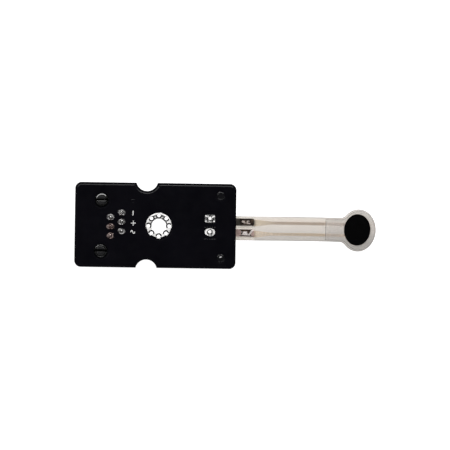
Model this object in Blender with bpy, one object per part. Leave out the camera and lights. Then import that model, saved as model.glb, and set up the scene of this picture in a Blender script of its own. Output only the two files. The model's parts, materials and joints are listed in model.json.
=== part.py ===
"""Film pressure sensor module, resting on its jack with its solder side up.

A black circuit board carries a six-way modular jack on its underside and a thin film
pressure sensor, which is crimped to two terminals at the board's right end and droops
towards the surface that the module stands on.

Units are metres and +Z is up. Pieces are placed in the board's own frame, whose x and y
start at the board's centre, and whose z starts at the surface under the jack. The empty
named module carries that frame, so that the world origin is under the middle of the
whole object.
"""

import math

import bmesh
import bpy
from mathutils import Matrix, Vector
from mathutils.geometry import tessellate_polygon

# Whole object
MODULE_X = -0.01657
FIT_GAP = 0.00004

# Circuit board
BOARD_LENGTH = 0.038
BOARD_WIDTH = 0.020
BOARD_THICKNESS = 0.0016
BOARD_UNDERSIDE = 0.0135
BOARD_TOP = BOARD_UNDERSIDE + BOARD_THICKNESS
BOARD_CORNER = 0.0015
NOTCH_X = -0.00207
NOTCH_CENTRE_BEYOND_EDGE = 0.00062
NOTCH_RADIUS = 0.00263

# Plated mounting hole
MOUNT_X = 0.0008
MOUNT_Y = -0.0001
MOUNT_HOLE_RADIUS = 0.0017
MOUNT_RING_RADIUS = 0.00304
PLATING_THICKNESS = 0.00006
RING_VIA_CIRCLE = 0.00243
RING_VIA_RADIUS = 0.00044
RING_VIA_COUNT = 8

# Modular jack
JACK_FRONT = -0.019
JACK_REAR = -0.003
JACK_WIDTH = 0.015
JACK_TOP = BOARD_UNDERSIDE - FIT_GAP
JACK_EDGE_BEVEL = 0.0003
SOCKET_REAR = -0.0096
SOCKET_WIDTH = 0.0099
SOCKET_LOW = 0.0040
SOCKET_HIGH = 0.0109
LATCH_WIDTH = 0.0066
LATCH_LOW = 0.0013
LATCH_LIP_HIGH = 0.0028
LATCH_LIP_REAR = -0.0175
LATCH_SLOT_WIDTH = 0.0036
PEG_PLACES = ((-0.01270, 0.00582), (-0.01280, -0.00612))
PEG_HOLE_RADIUS = 0.0016
PEG_SHAFT_RADIUS = 0.00118
PEG_BARB_RADIUS = 0.00136
PEG_TIP_RADIUS = 0.00095
PEG_SLOT_WIDTH = 0.0006

# Jack contacts: a fixed part that is soldered to the board, and a finger that flexes
CONTACT_COUNT = 6
CONTACT_PITCH = 0.0011
CONTACT_MIDDLE_Y = 0.00016
REAR_ROW_X = -0.00798
FRONT_ROW_X = -0.01057
WIRE_RADIUS = 0.000225
WIRE_GROOVE = 0.00062
WIRE_LEVEL = 0.0121
PIN_TIP = BOARD_TOP + 0.0010
PIN_HOLE_RADIUS = 0.00045
FINGER_HINGE_X = -0.0169
FINGER_BEND_RADIUS = 0.0005
FINGER_TIP_X = -0.0105
FINGER_TIP_LEVEL = 0.0090
FINGER_HINGE_LEVEL = WIRE_LEVEL - FINGER_BEND_RADIUS

# Carrier that holds the contacts at the rear of the jack
CARRIER_FRONT = -0.0118
CARRIER_WIDTH = 0.0078
CARRIER_SLOT_LEVEL = 0.0118

# Film sensor: s runs along the film, w across it and t through it
FILM_START = 0.01855
FILM_Y = -0.00032
FILM_LEVEL = 0.01275
FILM_HALF_WIDTH = 0.00283
BEND_START = 0.0236
BEND_RADIUS = 0.0374
HEAD_TILT = math.radians(33.0)
HEAD_TWIST = math.radians(4.3)
TAIL_YAW = math.radians(0.45)
NECK_START = BEND_START + BEND_RADIUS * HEAD_TILT
DISC_CENTRE = NECK_START + 0.00434
DISC_ASIDE = 0.00013
HEAD_CENTRE = DISC_CENTRE + 0.00033
HEAD_RADIUS = 0.00496
NECK_FILLET = 0.0025
DISC_RADIUS = 0.00365
WINDOW_RADIUS = 0.00385
HINGE_S = 0.0245
HINGE_GAP = 0.0001
FACET_LENGTH = 0.0016

# Layers of the film, from its back to its face, as heights from its middle
BASE_LAYER = (-0.00020, -0.00010)
TRACE_LAYER = (-0.00008, -0.00004)
SPACER_LAYER = (-0.00002, 0.00006)
COVER_LAYER = (0.00008, 0.00018)
DISC_LAYER = (0.00007, 0.00018)

# Printed silver conductors
TRACE_OFFSET = 0.0013
TRACE_HALF_WIDTH = 0.00035
COMB_OUTER_RADIUS = 0.00355
COMB_INNER_RADIUS = 0.00325
COMB_FINGER_HALF = 0.00025
COMB_FINGER_PITCH = 0.0016

# Crimp terminals of the film sensor
TERMINAL_PLACES = {
    "upper": {"film_y": 0.00115, "pad_y": 0.00172},
    "lower": {"film_y": -0.00141, "pad_y": -0.00144},
}
TERMINAL_REAR = 0.0182
TERMINAL_FRONT = 0.0233
TERMINAL_WIDTH = 0.0017
TERMINAL_SHEET = 0.00025
TERMINAL_LOW = 0.0122
TERMINAL_HIGH = 0.0133
LEAD_WIDTH = 0.0005
LEAD_THICKNESS = 0.0003
LEAD_TIP = BOARD_TOP + 0.0008
PAD_X = 0.01286
PAD_HOLE_RADIUS = 0.0005
PAD_HALF_LENGTH = 0.0012
SQUARE_PAD_HALF_WIDTH = 0.00093
ROUND_PAD_HALF_WIDTH = 0.00087

# Parts whose places are not tied to another piece
PLUG_PLACES = {"upper": (0.0153, 0.0072), "lower": (0.0155, -0.0075)}
PLUG_RADIUS = 0.00080
PLUG_HOLE_RADIUS = 0.00085
CHIP_LENGTH = 0.0020
CHIP_WIDTH = 0.00125
CHIP_HEIGHT = 0.00055
CHIP_CAP_LENGTH = 0.0004
CHIP_PLACES = {"divider_resistor": (0.0075, 0.0050), "filter_capacitor": (0.0075, -0.0050)}

# How a flat outline's two coordinates and its depth map to x, y and z
ALONG_X = Matrix(((0, 0, 1, 0), (1, 0, 0, 0), (0, 1, 0, 0), (0, 0, 0, 1)))
ALONG_Y = Matrix(((1, 0, 0, 0), (0, 0, 1, 0), (0, 1, 0, 0), (0, 0, 0, 1)))
ALONG_Z = Matrix.Identity(4)


def clear_scene():
    for obj in list(bpy.data.objects):
        bpy.data.objects.remove(obj, do_unlink=True)


def make_material(name, colour, roughness, metallic=0.0):
    material = bpy.data.materials.new(name)
    material.use_nodes = True
    shader = material.node_tree.nodes["Principled BSDF"]
    shader.inputs["Base Color"].default_value = (*colour, 1.0)
    shader.inputs["Roughness"].default_value = roughness
    shader.inputs["Metallic"].default_value = metallic
    return material


def add_empty(name, place, parent=None):
    empty = bpy.data.objects.new(name, None)
    empty.empty_display_size = 0.002
    empty.location = place
    empty.parent = parent
    bpy.context.scene.collection.objects.link(empty)
    return empty


def add_object(name, mesh, material, parent, origin=(0.0, 0.0, 0.0), smooth=False):
    """Adds a mesh given in its parent's frame, with its own origin at the given point."""
    mesh.transform(Matrix.Translation(-Vector(origin)))
    obj = bpy.data.objects.new(name, mesh)
    obj.location = origin
    obj.parent = parent
    if material is not None:
        mesh.materials.append(material)
    if smooth:
        mesh.shade_smooth()
        mesh.set_sharp_from_angle(angle=math.radians(35))
    bpy.context.scene.collection.objects.link(obj)
    return obj


def add_cutter(name, mesh, parent):
    cutter = add_object(name, mesh, None, parent)
    cutter.hide_render = True
    cutter.display_type = "WIRE"
    return cutter


def add_boolean(obj, other, operation):
    modifier = obj.modifiers.new(f"{operation.lower()}_{other.name}", "BOOLEAN")
    modifier.operation = operation
    modifier.object = other


def finish_mesh(name, shape):
    bmesh.ops.remove_doubles(shape, verts=shape.verts, dist=1e-8)
    bmesh.ops.recalc_face_normals(shape, faces=shape.faces)
    mesh = bpy.data.meshes.new(name)
    shape.to_mesh(mesh)
    shape.free()
    return mesh


def arc_points(centre, radius, start, end, steps):
    """Points from the start angle to the end angle, both included."""
    angles = [start + (end - start) * step / steps for step in range(steps + 1)]
    return [(centre[0] + radius * math.cos(a), centre[1] + radius * math.sin(a)) for a in angles]


def circle_points(centre, radius, count):
    return arc_points(centre, radius, 0.0, math.tau * (count - 1) / count, count - 1)


def box_outline(low_u, low_v, high_u, high_v):
    return [(low_u, low_v), (high_u, low_v), (high_u, high_v), (low_u, high_v)]


def add_face(shape, loops, level):
    """Fills the area between an outer loop and its holes with triangles, at one height."""
    rings = [[Vector((u, v, level)) for u, v in loop] for loop in loops]
    verts = [shape.verts.new(point) for ring in rings for point in ring]
    for corners in tessellate_polygon(rings):
        shape.faces.new([verts[index] for index in corners])


def add_wall(shape, loop, low, high):
    lower = [shape.verts.new((u, v, low)) for u, v in loop]
    upper = [shape.verts.new((u, v, high)) for u, v in loop]
    for index in range(len(loop)):
        after = (index + 1) % len(loop)
        shape.faces.new((lower[index], lower[after], upper[after], upper[index]))


def plate_shape(loops, low, high):
    """A flat plate: the first loop is its outline and the others are holes."""
    shape = bmesh.new()
    add_face(shape, loops, low)
    add_face(shape, loops, high)
    for loop in loops:
        add_wall(shape, loop, low, high)
    bmesh.ops.remove_doubles(shape, verts=shape.verts, dist=1e-8)
    return shape


def plate_mesh(name, loops, low, high, along=ALONG_Z):
    shape = plate_shape(loops, low, high)
    shape.transform(along)
    return finish_mesh(name, shape)


def box_mesh(name, low, high):
    return plate_mesh(name, [box_outline(low[0], low[1], high[0], high[1])], low[2], high[2])


def oval_loop(centre, radii, squareness, level, count=24):
    """A loop that is round at squareness 2 and closer to a rectangle at higher values."""
    points = []
    for step in range(count):
        angle = math.tau * (step + 0.5) / count
        c, s = math.cos(angle), math.sin(angle)
        reach = (abs(c) ** squareness + abs(s) ** squareness) ** (-1.0 / squareness)
        points.append((centre[0] + radii[0] * reach * c, centre[1] + radii[1] * reach * s, level))
    return points


def ring_mesh(name, loops):
    """A ring-shaped solid through loops of equal length, the last of which joins the first."""
    shape = bmesh.new()
    rings = [[shape.verts.new(point) for point in loop] for loop in loops]
    for index, ring in enumerate(rings):
        following = rings[(index + 1) % len(rings)]
        for corner in range(len(ring)):
            after = (corner + 1) % len(ring)
            shape.faces.new((ring[corner], ring[after], following[after], following[corner]))
    return finish_mesh(name, shape)


def turned_mesh(name, centre, profile, count=20):
    """A solid turned about a vertical axis: profile holds (radius, height), ends on the axis."""
    shape = bmesh.new()
    rings = []
    for radius, level in profile:
        loop = circle_points(centre, radius, count) if radius > 0.0 else [centre]
        rings.append([shape.verts.new((x, y, level)) for x, y in loop])
    for ring, following in zip(rings, rings[1:]):
        for corner in range(count):
            after = (corner + 1) % count
            near = (ring[corner], ring[after]) if len(ring) > 1 else (ring[0],)
            far = (following[after], following[corner]) if len(following) > 1 else (following[0],)
            shape.faces.new(near + far)
    return finish_mesh(name, shape)


def add_wire(name, points, radius, material, parent, origin=(0.0, 0.0, 0.0)):
    """A round wire through the given points, with flat ends."""
    curve = bpy.data.curves.new(name, "CURVE")
    curve.dimensions = "3D"
    curve.bevel_depth = radius
    curve.bevel_resolution = 2
    curve.use_fill_caps = True
    spline = curve.splines.new("POLY")
    spline.points.add(len(points) - 1)
    for slot, point in zip(spline.points, points):
        slot.co = (*(Vector(point) - Vector(origin)), 1.0)
    spline.use_smooth = True
    curve.materials.append(material)
    obj = bpy.data.objects.new(name, curve)
    obj.location = origin
    obj.parent = parent
    bpy.context.scene.collection.objects.link(obj)
    return obj


def contact_y(number):
    """The y of a jack contact, counted from 1 at the +Y side."""
    return CONTACT_MIDDLE_Y + CONTACT_PITCH * ((CONTACT_COUNT + 1) / 2 - number)


def contact_row_x(number):
    return REAR_ROW_X if number % 2 else FRONT_ROW_X


def ring_via_places():
    angles = [math.tau * index / RING_VIA_COUNT for index in range(RING_VIA_COUNT)]
    return [
        (MOUNT_X + RING_VIA_CIRCLE * math.cos(a), MOUNT_Y + RING_VIA_CIRCLE * math.sin(a))
        for a in angles
    ]


def board_outline():
    """A rectangle with round corners and a round notch in each long side."""
    half_x = BOARD_LENGTH / 2
    half_y = BOARD_WIDTH / 2
    in_x = half_x - BOARD_CORNER
    in_y = half_y - BOARD_CORNER
    notch_y = half_y + NOTCH_CENTRE_BEYOND_EDGE
    rise = math.asin(NOTCH_CENTRE_BEYOND_EDGE / NOTCH_RADIUS)
    quarter = math.pi / 2
    points = arc_points((-in_x, -in_y), BOARD_CORNER, math.pi, 3 * quarter, 6)
    points += arc_points((NOTCH_X, -notch_y), NOTCH_RADIUS, math.pi - rise, rise, 20)
    points += arc_points((in_x, -in_y), BOARD_CORNER, -quarter, 0.0, 6)
    points += arc_points((in_x, in_y), BOARD_CORNER, 0.0, quarter, 6)
    points += arc_points((NOTCH_X, notch_y), NOTCH_RADIUS, -rise, rise - math.pi, 20)
    points += arc_points((-in_x, in_y), BOARD_CORNER, quarter, math.pi, 6)
    return points


def make_board(module):
    mask = make_material("black_solder_mask", (0.012, 0.012, 0.014), 0.35)
    holes = [circle_points((MOUNT_X, MOUNT_Y), MOUNT_HOLE_RADIUS + 2 * FIT_GAP, 32)]
    holes += [circle_points(place, RING_VIA_RADIUS, 12) for place in ring_via_places()]
    holes += [circle_points(place, PEG_HOLE_RADIUS, 24) for place in PEG_PLACES]
    for number in range(1, CONTACT_COUNT + 1):
        place = (contact_row_x(number), contact_y(number))
        holes.append(circle_points(place, PIN_HOLE_RADIUS, 10))
    for terminal in TERMINAL_PLACES.values():
        holes.append(circle_points((PAD_X, terminal["pad_y"]), PAD_HOLE_RADIUS, 12))
    holes += [circle_points(place, PLUG_HOLE_RADIUS, 16) for place in PLUG_PLACES.values()]
    mesh = plate_mesh("circuit_board", [board_outline(), *holes], BOARD_UNDERSIDE, BOARD_TOP)
    add_object("circuit_board", mesh, mask, module)


def make_mount_plating(module):
    """A tinned ring on each face of the board, joined by the plated wall of the hole."""
    tin = make_material("tin_plating", (0.78, 0.78, 0.76), 0.3, 1.0)
    centre = (MOUNT_X, MOUNT_Y)
    rim = circle_points(centre, MOUNT_RING_RADIUS, 40)
    bore = circle_points(centre, MOUNT_HOLE_RADIUS, 32)
    barrel = circle_points(centre, MOUNT_HOLE_RADIUS + FIT_GAP, 32)
    vias = [circle_points(place, RING_VIA_RADIUS - FIT_GAP, 12) for place in ring_via_places()]
    upper_low = BOARD_TOP + FIT_GAP
    lower_high = BOARD_UNDERSIDE - FIT_GAP
    upper_high = upper_low + PLATING_THICKNESS
    lower_low = lower_high - PLATING_THICKNESS
    shape = bmesh.new()
    for level in (upper_high, lower_low):
        add_face(shape, [rim, *vias, bore], level)
    for level in (upper_low, lower_high):
        add_face(shape, [rim, *vias, barrel], level)
    for loop in (rim, *vias):
        add_wall(shape, loop, upper_low, upper_high)
        add_wall(shape, loop, lower_low, lower_high)
    add_wall(shape, bore, lower_low, upper_high)
    add_wall(shape, barrel, lower_high, upper_low)
    mesh = finish_mesh("mounting_hole_plating", shape)
    add_object("mounting_hole_plating", mesh, tin, module)


def jack_shell_mesh():
    """The outer block of the jack, with its long edges eased."""
    bevel = JACK_EDGE_BEVEL
    half = JACK_WIDTH / 2
    outline = [
        (-half + bevel, 0.0),
        (half - bevel, 0.0),
        (half, bevel),
        (half, JACK_TOP),
        (-half, JACK_TOP),
        (-half, bevel),
    ]
    return plate_mesh("jack_housing", [outline], JACK_FRONT, JACK_REAR, ALONG_X)


def socket_outline():
    """The mouth of the socket: the plug's body above, stepping down to the latch slot."""
    body = SOCKET_WIDTH / 2
    latch = LATCH_WIDTH / 2
    slot = LATCH_SLOT_WIDTH / 2
    return [
        (-body, SOCKET_HIGH),
        (-body, SOCKET_LOW),
        (-latch, SOCKET_LOW),
        (-latch, LATCH_LIP_HIGH),
        (-slot, LATCH_LIP_HIGH),
        (-slot, LATCH_LOW),
        (slot, LATCH_LOW),
        (slot, LATCH_LIP_HIGH),
        (latch, LATCH_LIP_HIGH),
        (latch, SOCKET_LOW),
        (body, SOCKET_LOW),
        (body, SOCKET_HIGH),
    ]


def peg_mesh(name, place):
    profile = (
        (0.0, JACK_TOP - 0.0006),
        (PEG_SHAFT_RADIUS, JACK_TOP - 0.0006),
        (PEG_SHAFT_RADIUS, BOARD_TOP + 0.0001),
        (PEG_BARB_RADIUS, BOARD_TOP + 0.0003),
        (PEG_TIP_RADIUS, BOARD_TOP + 0.0008),
        (0.0, BOARD_TOP + 0.0008),
    )
    return turned_mesh(name, place, profile)


def make_jack_housing(module):
    plastic = make_material("jack_plastic", (0.015, 0.015, 0.016), 0.4)
    housing = add_object("jack_housing", jack_shell_mesh(), plastic, module)
    beyond = 0.001
    for index, place in enumerate(PEG_PLACES, start=1):
        peg = add_cutter(f"peg_{index}", peg_mesh(f"peg_{index}", place), module)
        add_boolean(housing, peg, "UNION")
    cuts = {
        "socket_cut": plate_mesh(
            "socket_cut", [socket_outline()], JACK_FRONT - beyond, SOCKET_REAR, ALONG_X
        ),
        "latch_cut": box_mesh(
            "latch_cut",
            (LATCH_LIP_REAR, -LATCH_WIDTH / 2, LATCH_LOW),
            (SOCKET_REAR, LATCH_WIDTH / 2, SOCKET_LOW + beyond),
        ),
        "carrier_cut": box_mesh(
            "carrier_cut",
            (CARRIER_FRONT, -CARRIER_WIDTH / 2, SOCKET_HIGH),
            (JACK_REAR + beyond, CARRIER_WIDTH / 2, BOARD_TOP),
        ),
    }
    for number in range(1, CONTACT_COUNT + 1):
        y = contact_y(number)
        name = f"groove_cut_{number}"
        cuts[name] = box_mesh(
            name,
            (FINGER_HINGE_X - beyond, y - WIRE_GROOVE / 2, SOCKET_HIGH - beyond),
            (CARRIER_FRONT + beyond, y + WIRE_GROOVE / 2, WIRE_LEVEL + 0.0004),
        )
    for index, (x, y) in enumerate(PEG_PLACES, start=1):
        name = f"peg_slot_{index}"
        cuts[name] = box_mesh(
            name,
            (x - 0.002, y - PEG_SLOT_WIDTH / 2, JACK_TOP + 0.0004),
            (x + 0.002, y + PEG_SLOT_WIDTH / 2, BOARD_TOP + 0.002),
        )
    for name, mesh in cuts.items():
        add_boolean(housing, add_cutter(name, mesh, module), "DIFFERENCE")


def make_contact_carrier(module):
    """A comb-shaped block in the jack's rear, with a slot for each contact."""
    plastic = make_material("carrier_plastic", (0.05, 0.05, 0.052), 0.45)
    half = CARRIER_WIDTH / 2 - FIT_GAP
    front = CARRIER_FRONT + FIT_GAP
    outline = [(JACK_REAR, half), (front, half)]
    for number in range(1, CONTACT_COUNT + 1):
        y = contact_y(number)
        end = contact_row_x(number) + 0.00035
        edge = WIRE_GROOVE / 2
        outline += [(front, y + edge), (end, y + edge), (end, y - edge), (front, y - edge)]
    outline += [(front, -half), (JACK_REAR, -half)]
    block = [(JACK_REAR, half), (front, half), (front, -half), (JACK_REAR, -half)]
    low = SOCKET_HIGH + FIT_GAP
    join = 0.0002
    base = plate_mesh("jack_contact_carrier", [block], low, CARRIER_SLOT_LEVEL)
    comb_mesh = plate_mesh(
        "carrier_comb", [outline], CARRIER_SLOT_LEVEL - join, JACK_TOP - FIT_GAP
    )
    carrier = add_object("jack_contact_carrier", base, plastic, module)
    comb = add_cutter("carrier_comb", comb_mesh, module)
    add_boolean(carrier, comb, "UNION")


def make_contacts(module):
    gold = make_material("gold_plated_wire", (0.85, 0.62, 0.25), 0.25, 1.0)
    for number in range(1, CONTACT_COUNT + 1):
        y = contact_y(number)
        x = contact_row_x(number)
        corner = 0.0003
        fixed = [(x, y, PIN_TIP), (x, y, WIRE_LEVEL + corner), (x - corner, y, WIRE_LEVEL)]
        fixed.append((FINGER_HINGE_X + 0.0003, y, WIRE_LEVEL))
        add_wire(f"jack_contact_{number}", fixed, WIRE_RADIUS, gold, module)
        hinge = (FINGER_HINGE_X, y, FINGER_HINGE_LEVEL)
        bend = arc_points(
            (FINGER_HINGE_X, FINGER_HINGE_LEVEL),
            FINGER_BEND_RADIUS,
            math.radians(85),
            math.radians(252),
            6,
        )
        finger = [(u, y, v) for u, v in bend]
        finger.append((FINGER_TIP_X, y, FINGER_TIP_LEVEL))
        add_wire(f"contact_finger_{number}", finger, WIRE_RADIUS, gold, module, hinge)


def dome_mesh(name, centre, radii, squareness, hole_radius, height):
    """A solder joint: a dome that stands on its pad and has the lead's hole through it."""
    low = BOARD_TOP + FIT_GAP
    steps = ((1.0, 0.0), (0.97, 0.25), (0.80, 0.62), (0.55, 0.90), (0.40, 1.0))
    loops = []
    for share, rise in steps:
        power = 2.0 + (squareness - 2.0) * (1.0 - rise) ** 2
        wide = tuple(hole_radius * 1.1 + share * (radius - hole_radius * 1.1) for radius in radii)
        loops.append(oval_loop(centre, wide, power, low + rise * height))
    bore = (hole_radius, hole_radius)
    loops.append(oval_loop(centre, bore, 2.0, low + height * 0.97))
    loops.append(oval_loop(centre, bore, 2.0, low))
    return ring_mesh(name, loops)


def make_solder_joints(module):
    solder = make_material("solder", (0.72, 0.72, 0.70), 0.25, 1.0)
    for number in range(1, CONTACT_COUNT + 1):
        name = f"jack_solder_{number}"
        centre = (contact_row_x(number), contact_y(number))
        mesh = dome_mesh(name, centre, (0.00085, 0.00054), 2.0, 0.00028, 0.0006)
        add_object(name, mesh, solder, module, smooth=True)
    upper = (PAD_X, TERMINAL_PLACES["upper"]["pad_y"])
    lower = (PAD_X, TERMINAL_PLACES["lower"]["pad_y"])
    square_radii = (PAD_HALF_LENGTH, SQUARE_PAD_HALF_WIDTH)
    round_radii = (PAD_HALF_LENGTH, ROUND_PAD_HALF_WIDTH)
    square = dome_mesh("sensor_solder_square", upper, square_radii, 9.0, 0.00036, 0.0005)
    add_object("sensor_solder_square", square, solder, module, smooth=True)
    round_one = dome_mesh("sensor_solder_round", lower, round_radii, 2.4, 0.00036, 0.0005)
    add_object("sensor_solder_round", round_one, solder, module, smooth=True)


def film_point(s, w, t):
    """The place of a point of the film in the module's frame, bent and twisted."""
    share = min(max((s - BEND_START) / (NECK_START - BEND_START), 0.0), 1.0)
    tilt = HEAD_TILT * share
    twist = HEAD_TWIST * share
    straight = min(s, BEND_START) - BEND_START
    beyond = max(s - NECK_START, 0.0)
    along = straight + BEND_RADIUS * math.sin(tilt) + beyond * math.cos(tilt)
    down = BEND_RADIUS * (1.0 - math.cos(tilt)) + beyond * math.sin(tilt)
    normal = Vector((math.sin(tilt), 0.0, math.cos(tilt)))
    side = Vector((0.0, 1.0, 0.0))
    across = math.cos(twist) * side + math.sin(twist) * normal
    through = math.cos(twist) * normal - math.sin(twist) * side
    point = Vector((along, 0.0, -down)) + w * across + t * through
    turn = Matrix.Rotation(TAIL_YAW if s > BEND_START else 0.0, 3, "Z")
    return turn @ point + Vector((BEND_START, FILM_Y, FILM_LEVEL))


def film_outline(start):
    """The strip and the round head, joined by a fillet on each side of the neck."""
    reach_w = FILM_HALF_WIDTH + NECK_FILLET
    reach_s = math.sqrt((HEAD_RADIUS + NECK_FILLET) ** 2 - reach_w**2)
    fillet_s = HEAD_CENTRE - reach_s
    turn = math.atan2(reach_w, -reach_s)
    down = -math.pi / 2
    points = [(start, -FILM_HALF_WIDTH)]
    points += arc_points((fillet_s, -reach_w), NECK_FILLET, -down, math.pi - turn, 5)
    points += arc_points((HEAD_CENTRE, 0.0), HEAD_RADIUS, -turn, turn, 36)[1:-1]
    points += arc_points((fillet_s, reach_w), NECK_FILLET, turn - math.pi, down, 5)
    points.append((start, FILM_HALF_WIDTH))
    return points


def film_mesh(name, loops, layer):
    """A layer of the film: cut flat, divided along its length, then bent."""
    shape = plate_shape(loops, *layer)
    start = min(vert.co.x for vert in shape.verts)
    end = max(vert.co.x for vert in shape.verts)
    place = BEND_START
    while place < min(end, NECK_START + FACET_LENGTH):
        if place > start:
            geometry = shape.verts[:] + shape.edges[:] + shape.faces[:]
            bmesh.ops.bisect_plane(shape, geom=geometry, plane_co=(place, 0, 0), plane_no=(1, 0, 0))
        place += FACET_LENGTH
    for vert in shape.verts:
        vert.co = film_point(*vert.co)
    return finish_mesh(name, shape)


def comb_outline(start, side):
    """One printed conductor: a trace along the tail, then half of the electrode comb.

    The comb's fingers reach across the head from an arc. The other half, with side -1,
    has its fingers in the gaps.
    """
    near = TRACE_OFFSET - TRACE_HALF_WIDTH
    far = TRACE_OFFSET + TRACE_HALF_WIDTH
    outer_start = math.pi - math.asin(far / COMB_OUTER_RADIUS)
    inner_start = math.pi - math.asin(near / COMB_INNER_RADIUS)
    end = math.radians(14)
    centre = (DISC_CENTRE, 0.0)
    points = [(start, far)]
    points += arc_points(centre, COMB_OUTER_RADIUS, outer_start, end, 14)
    shift = 0.0 if side > 0 else COMB_FINGER_PITCH / 2
    places = [shift + COMB_FINGER_PITCH * (1 - index) for index in range(3)]
    points.append((centre[0] + COMB_INNER_RADIUS * math.cos(end), COMB_INNER_RADIUS * math.sin(end)))
    for place in places:
        right = place + COMB_FINGER_HALF
        left = place - COMB_FINGER_HALF
        tip = -math.sqrt(COMB_INNER_RADIUS**2 - place**2) + 0.0004
        points.append((centre[0] + right, math.sqrt(COMB_INNER_RADIUS**2 - right**2)))
        points.append((centre[0] + right, tip))
        points.append((centre[0] + left, tip))
        points.append((centre[0] + left, math.sqrt(COMB_INNER_RADIUS**2 - left**2)))
    points += arc_points(centre, COMB_INNER_RADIUS, math.radians(150), inner_start, 2)
    points.append((start, near))
    return [(s, side * w) for s, w in points]


def make_film(module):
    """The crimped end stays with the board, and the rest bends about the hinge beside it."""
    clear_film = make_material("clear_film", (0.75, 0.72, 0.68), 0.2)
    adhesive = make_material("spacer_adhesive", (0.70, 0.68, 0.64), 0.5)
    silver = make_material("printed_silver", (0.45, 0.38, 0.33), 0.5, 0.3)
    carbon = make_material("carbon_ink", (0.010, 0.010, 0.010), 0.5)
    root_end = HINGE_S - HINGE_GAP
    tail_start = HINGE_S + HINGE_GAP
    root_loop = box_outline(FILM_START, -FILM_HALF_WIDTH, root_end, FILM_HALF_WIDTH)
    root = film_mesh("film_crimped_end", [root_loop], (BASE_LAYER[0], COVER_LAYER[1]))
    add_object("film_crimped_end", root, clear_film, module)
    hinge_place = film_point(HINGE_S, 0.0, 0.0)
    hinge = add_empty("tail_flex_axis", hinge_place, module)
    outline = film_outline(tail_start)
    window = circle_points((DISC_CENTRE, DISC_ASIDE), WINDOW_RADIUS, 36)
    disc_loop = circle_points((DISC_CENTRE, DISC_ASIDE), DISC_RADIUS, 36)
    layers = {
        "film_base": ([outline], BASE_LAYER, clear_film),
        "silver_trace_upper": ([comb_outline(tail_start, 1)], TRACE_LAYER, silver),
        "silver_trace_lower": ([comb_outline(tail_start, -1)], TRACE_LAYER, silver),
        "spacer_film": ([outline, window], SPACER_LAYER, adhesive),
        "cover_film": ([outline, window], COVER_LAYER, clear_film),
        "carbon_disc": ([disc_loop], DISC_LAYER, carbon),
    }
    for name, (loops, layer, look) in layers.items():
        mesh = film_mesh(name, loops, layer)
        mesh.transform(Matrix.Translation(-hinge_place))
        add_object(name, mesh, look, hinge)


def terminal_crimp_mesh(name, y):
    """A folded sheet that grips the film from above and below, open towards the sensor."""
    sheet = TERMINAL_SHEET
    outline = [
        (TERMINAL_REAR, TERMINAL_LOW),
        (TERMINAL_FRONT, TERMINAL_LOW),
        (TERMINAL_FRONT, TERMINAL_LOW + sheet),
        (TERMINAL_REAR + sheet, TERMINAL_LOW + sheet),
        (TERMINAL_REAR + sheet, TERMINAL_HIGH - sheet),
        (TERMINAL_FRONT, TERMINAL_HIGH - sheet),
        (TERMINAL_FRONT, TERMINAL_HIGH),
        (TERMINAL_REAR, TERMINAL_HIGH),
    ]
    half = TERMINAL_WIDTH / 2
    return plate_mesh(name, [outline], y - half, y + half, ALONG_Y)


def terminal_lead_mesh(name, film_y, pad_y):
    """A flat lead that runs under the board, then turns up through its hole."""
    high = TERMINAL_HIGH - 0.00003
    low = high - LEAD_THICKNESS
    half = LEAD_THICKNESS / 2
    outline = [
        (TERMINAL_REAR + TERMINAL_SHEET / 2, low),
        (TERMINAL_REAR + TERMINAL_SHEET / 2, high),
        (PAD_X + half, high),
        (PAD_X + half, LEAD_TIP),
        (PAD_X - half, LEAD_TIP),
        (PAD_X - half, low),
    ]
    mesh = plate_mesh(name, [outline], -LEAD_WIDTH / 2, LEAD_WIDTH / 2, ALONG_Y)
    slope = (film_y - pad_y) / (TERMINAL_REAR - PAD_X)
    for vert in mesh.vertices:
        vert.co.y += pad_y + slope * max(vert.co.x - PAD_X, 0.0)
    return mesh


def make_terminals(module):
    plated = make_material("terminal_plating", (0.35, 0.31, 0.28), 0.3, 1.0)
    for side, place in TERMINAL_PLACES.items():
        name = f"sensor_terminal_{side}"
        crimp = terminal_crimp_mesh(name, place["film_y"])
        terminal = add_object(name, crimp, plated, module)
        lead_name = f"sensor_lead_{side}"
        lead = terminal_lead_mesh(lead_name, place["film_y"], place["pad_y"])
        add_boolean(terminal, add_cutter(lead_name, lead, module), "UNION")


def make_hole_plugs(module):
    plastic = make_material("plug_resin", (0.012, 0.012, 0.014), 0.2)
    for side, place in PLUG_PLACES.items():
        name = f"board_plug_{side}"
        profile = (
            (0.0, BOARD_UNDERSIDE),
            (PLUG_RADIUS, BOARD_UNDERSIDE),
            (PLUG_RADIUS, BOARD_TOP),
            (PLUG_RADIUS * 0.75, BOARD_TOP + 0.00014),
            (PLUG_RADIUS * 0.35, BOARD_TOP + 0.00021),
            (0.0, BOARD_TOP + 0.00023),
        )
        mesh = turned_mesh(name, place, profile, 16)
        add_object(name, mesh, plastic, module, smooth=True)


def chip_mesh(name, place):
    """A surface-mounted part under the board, with a slightly thicker cap at each end."""
    high = BOARD_UNDERSIDE - FIT_GAP
    low = high - CHIP_HEIGHT
    step = 0.00004
    left = place[0] - CHIP_LENGTH / 2
    right = place[0] + CHIP_LENGTH / 2
    outline = [
        (left, low),
        (left + CHIP_CAP_LENGTH, low),
        (left + CHIP_CAP_LENGTH, low + step),
        (right - CHIP_CAP_LENGTH, low + step),
        (right - CHIP_CAP_LENGTH, low),
        (right, low),
        (right, high),
        (left, high),
    ]
    half = CHIP_WIDTH / 2
    return plate_mesh(name, [outline], place[1] - half, place[1] + half, ALONG_Y)


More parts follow.
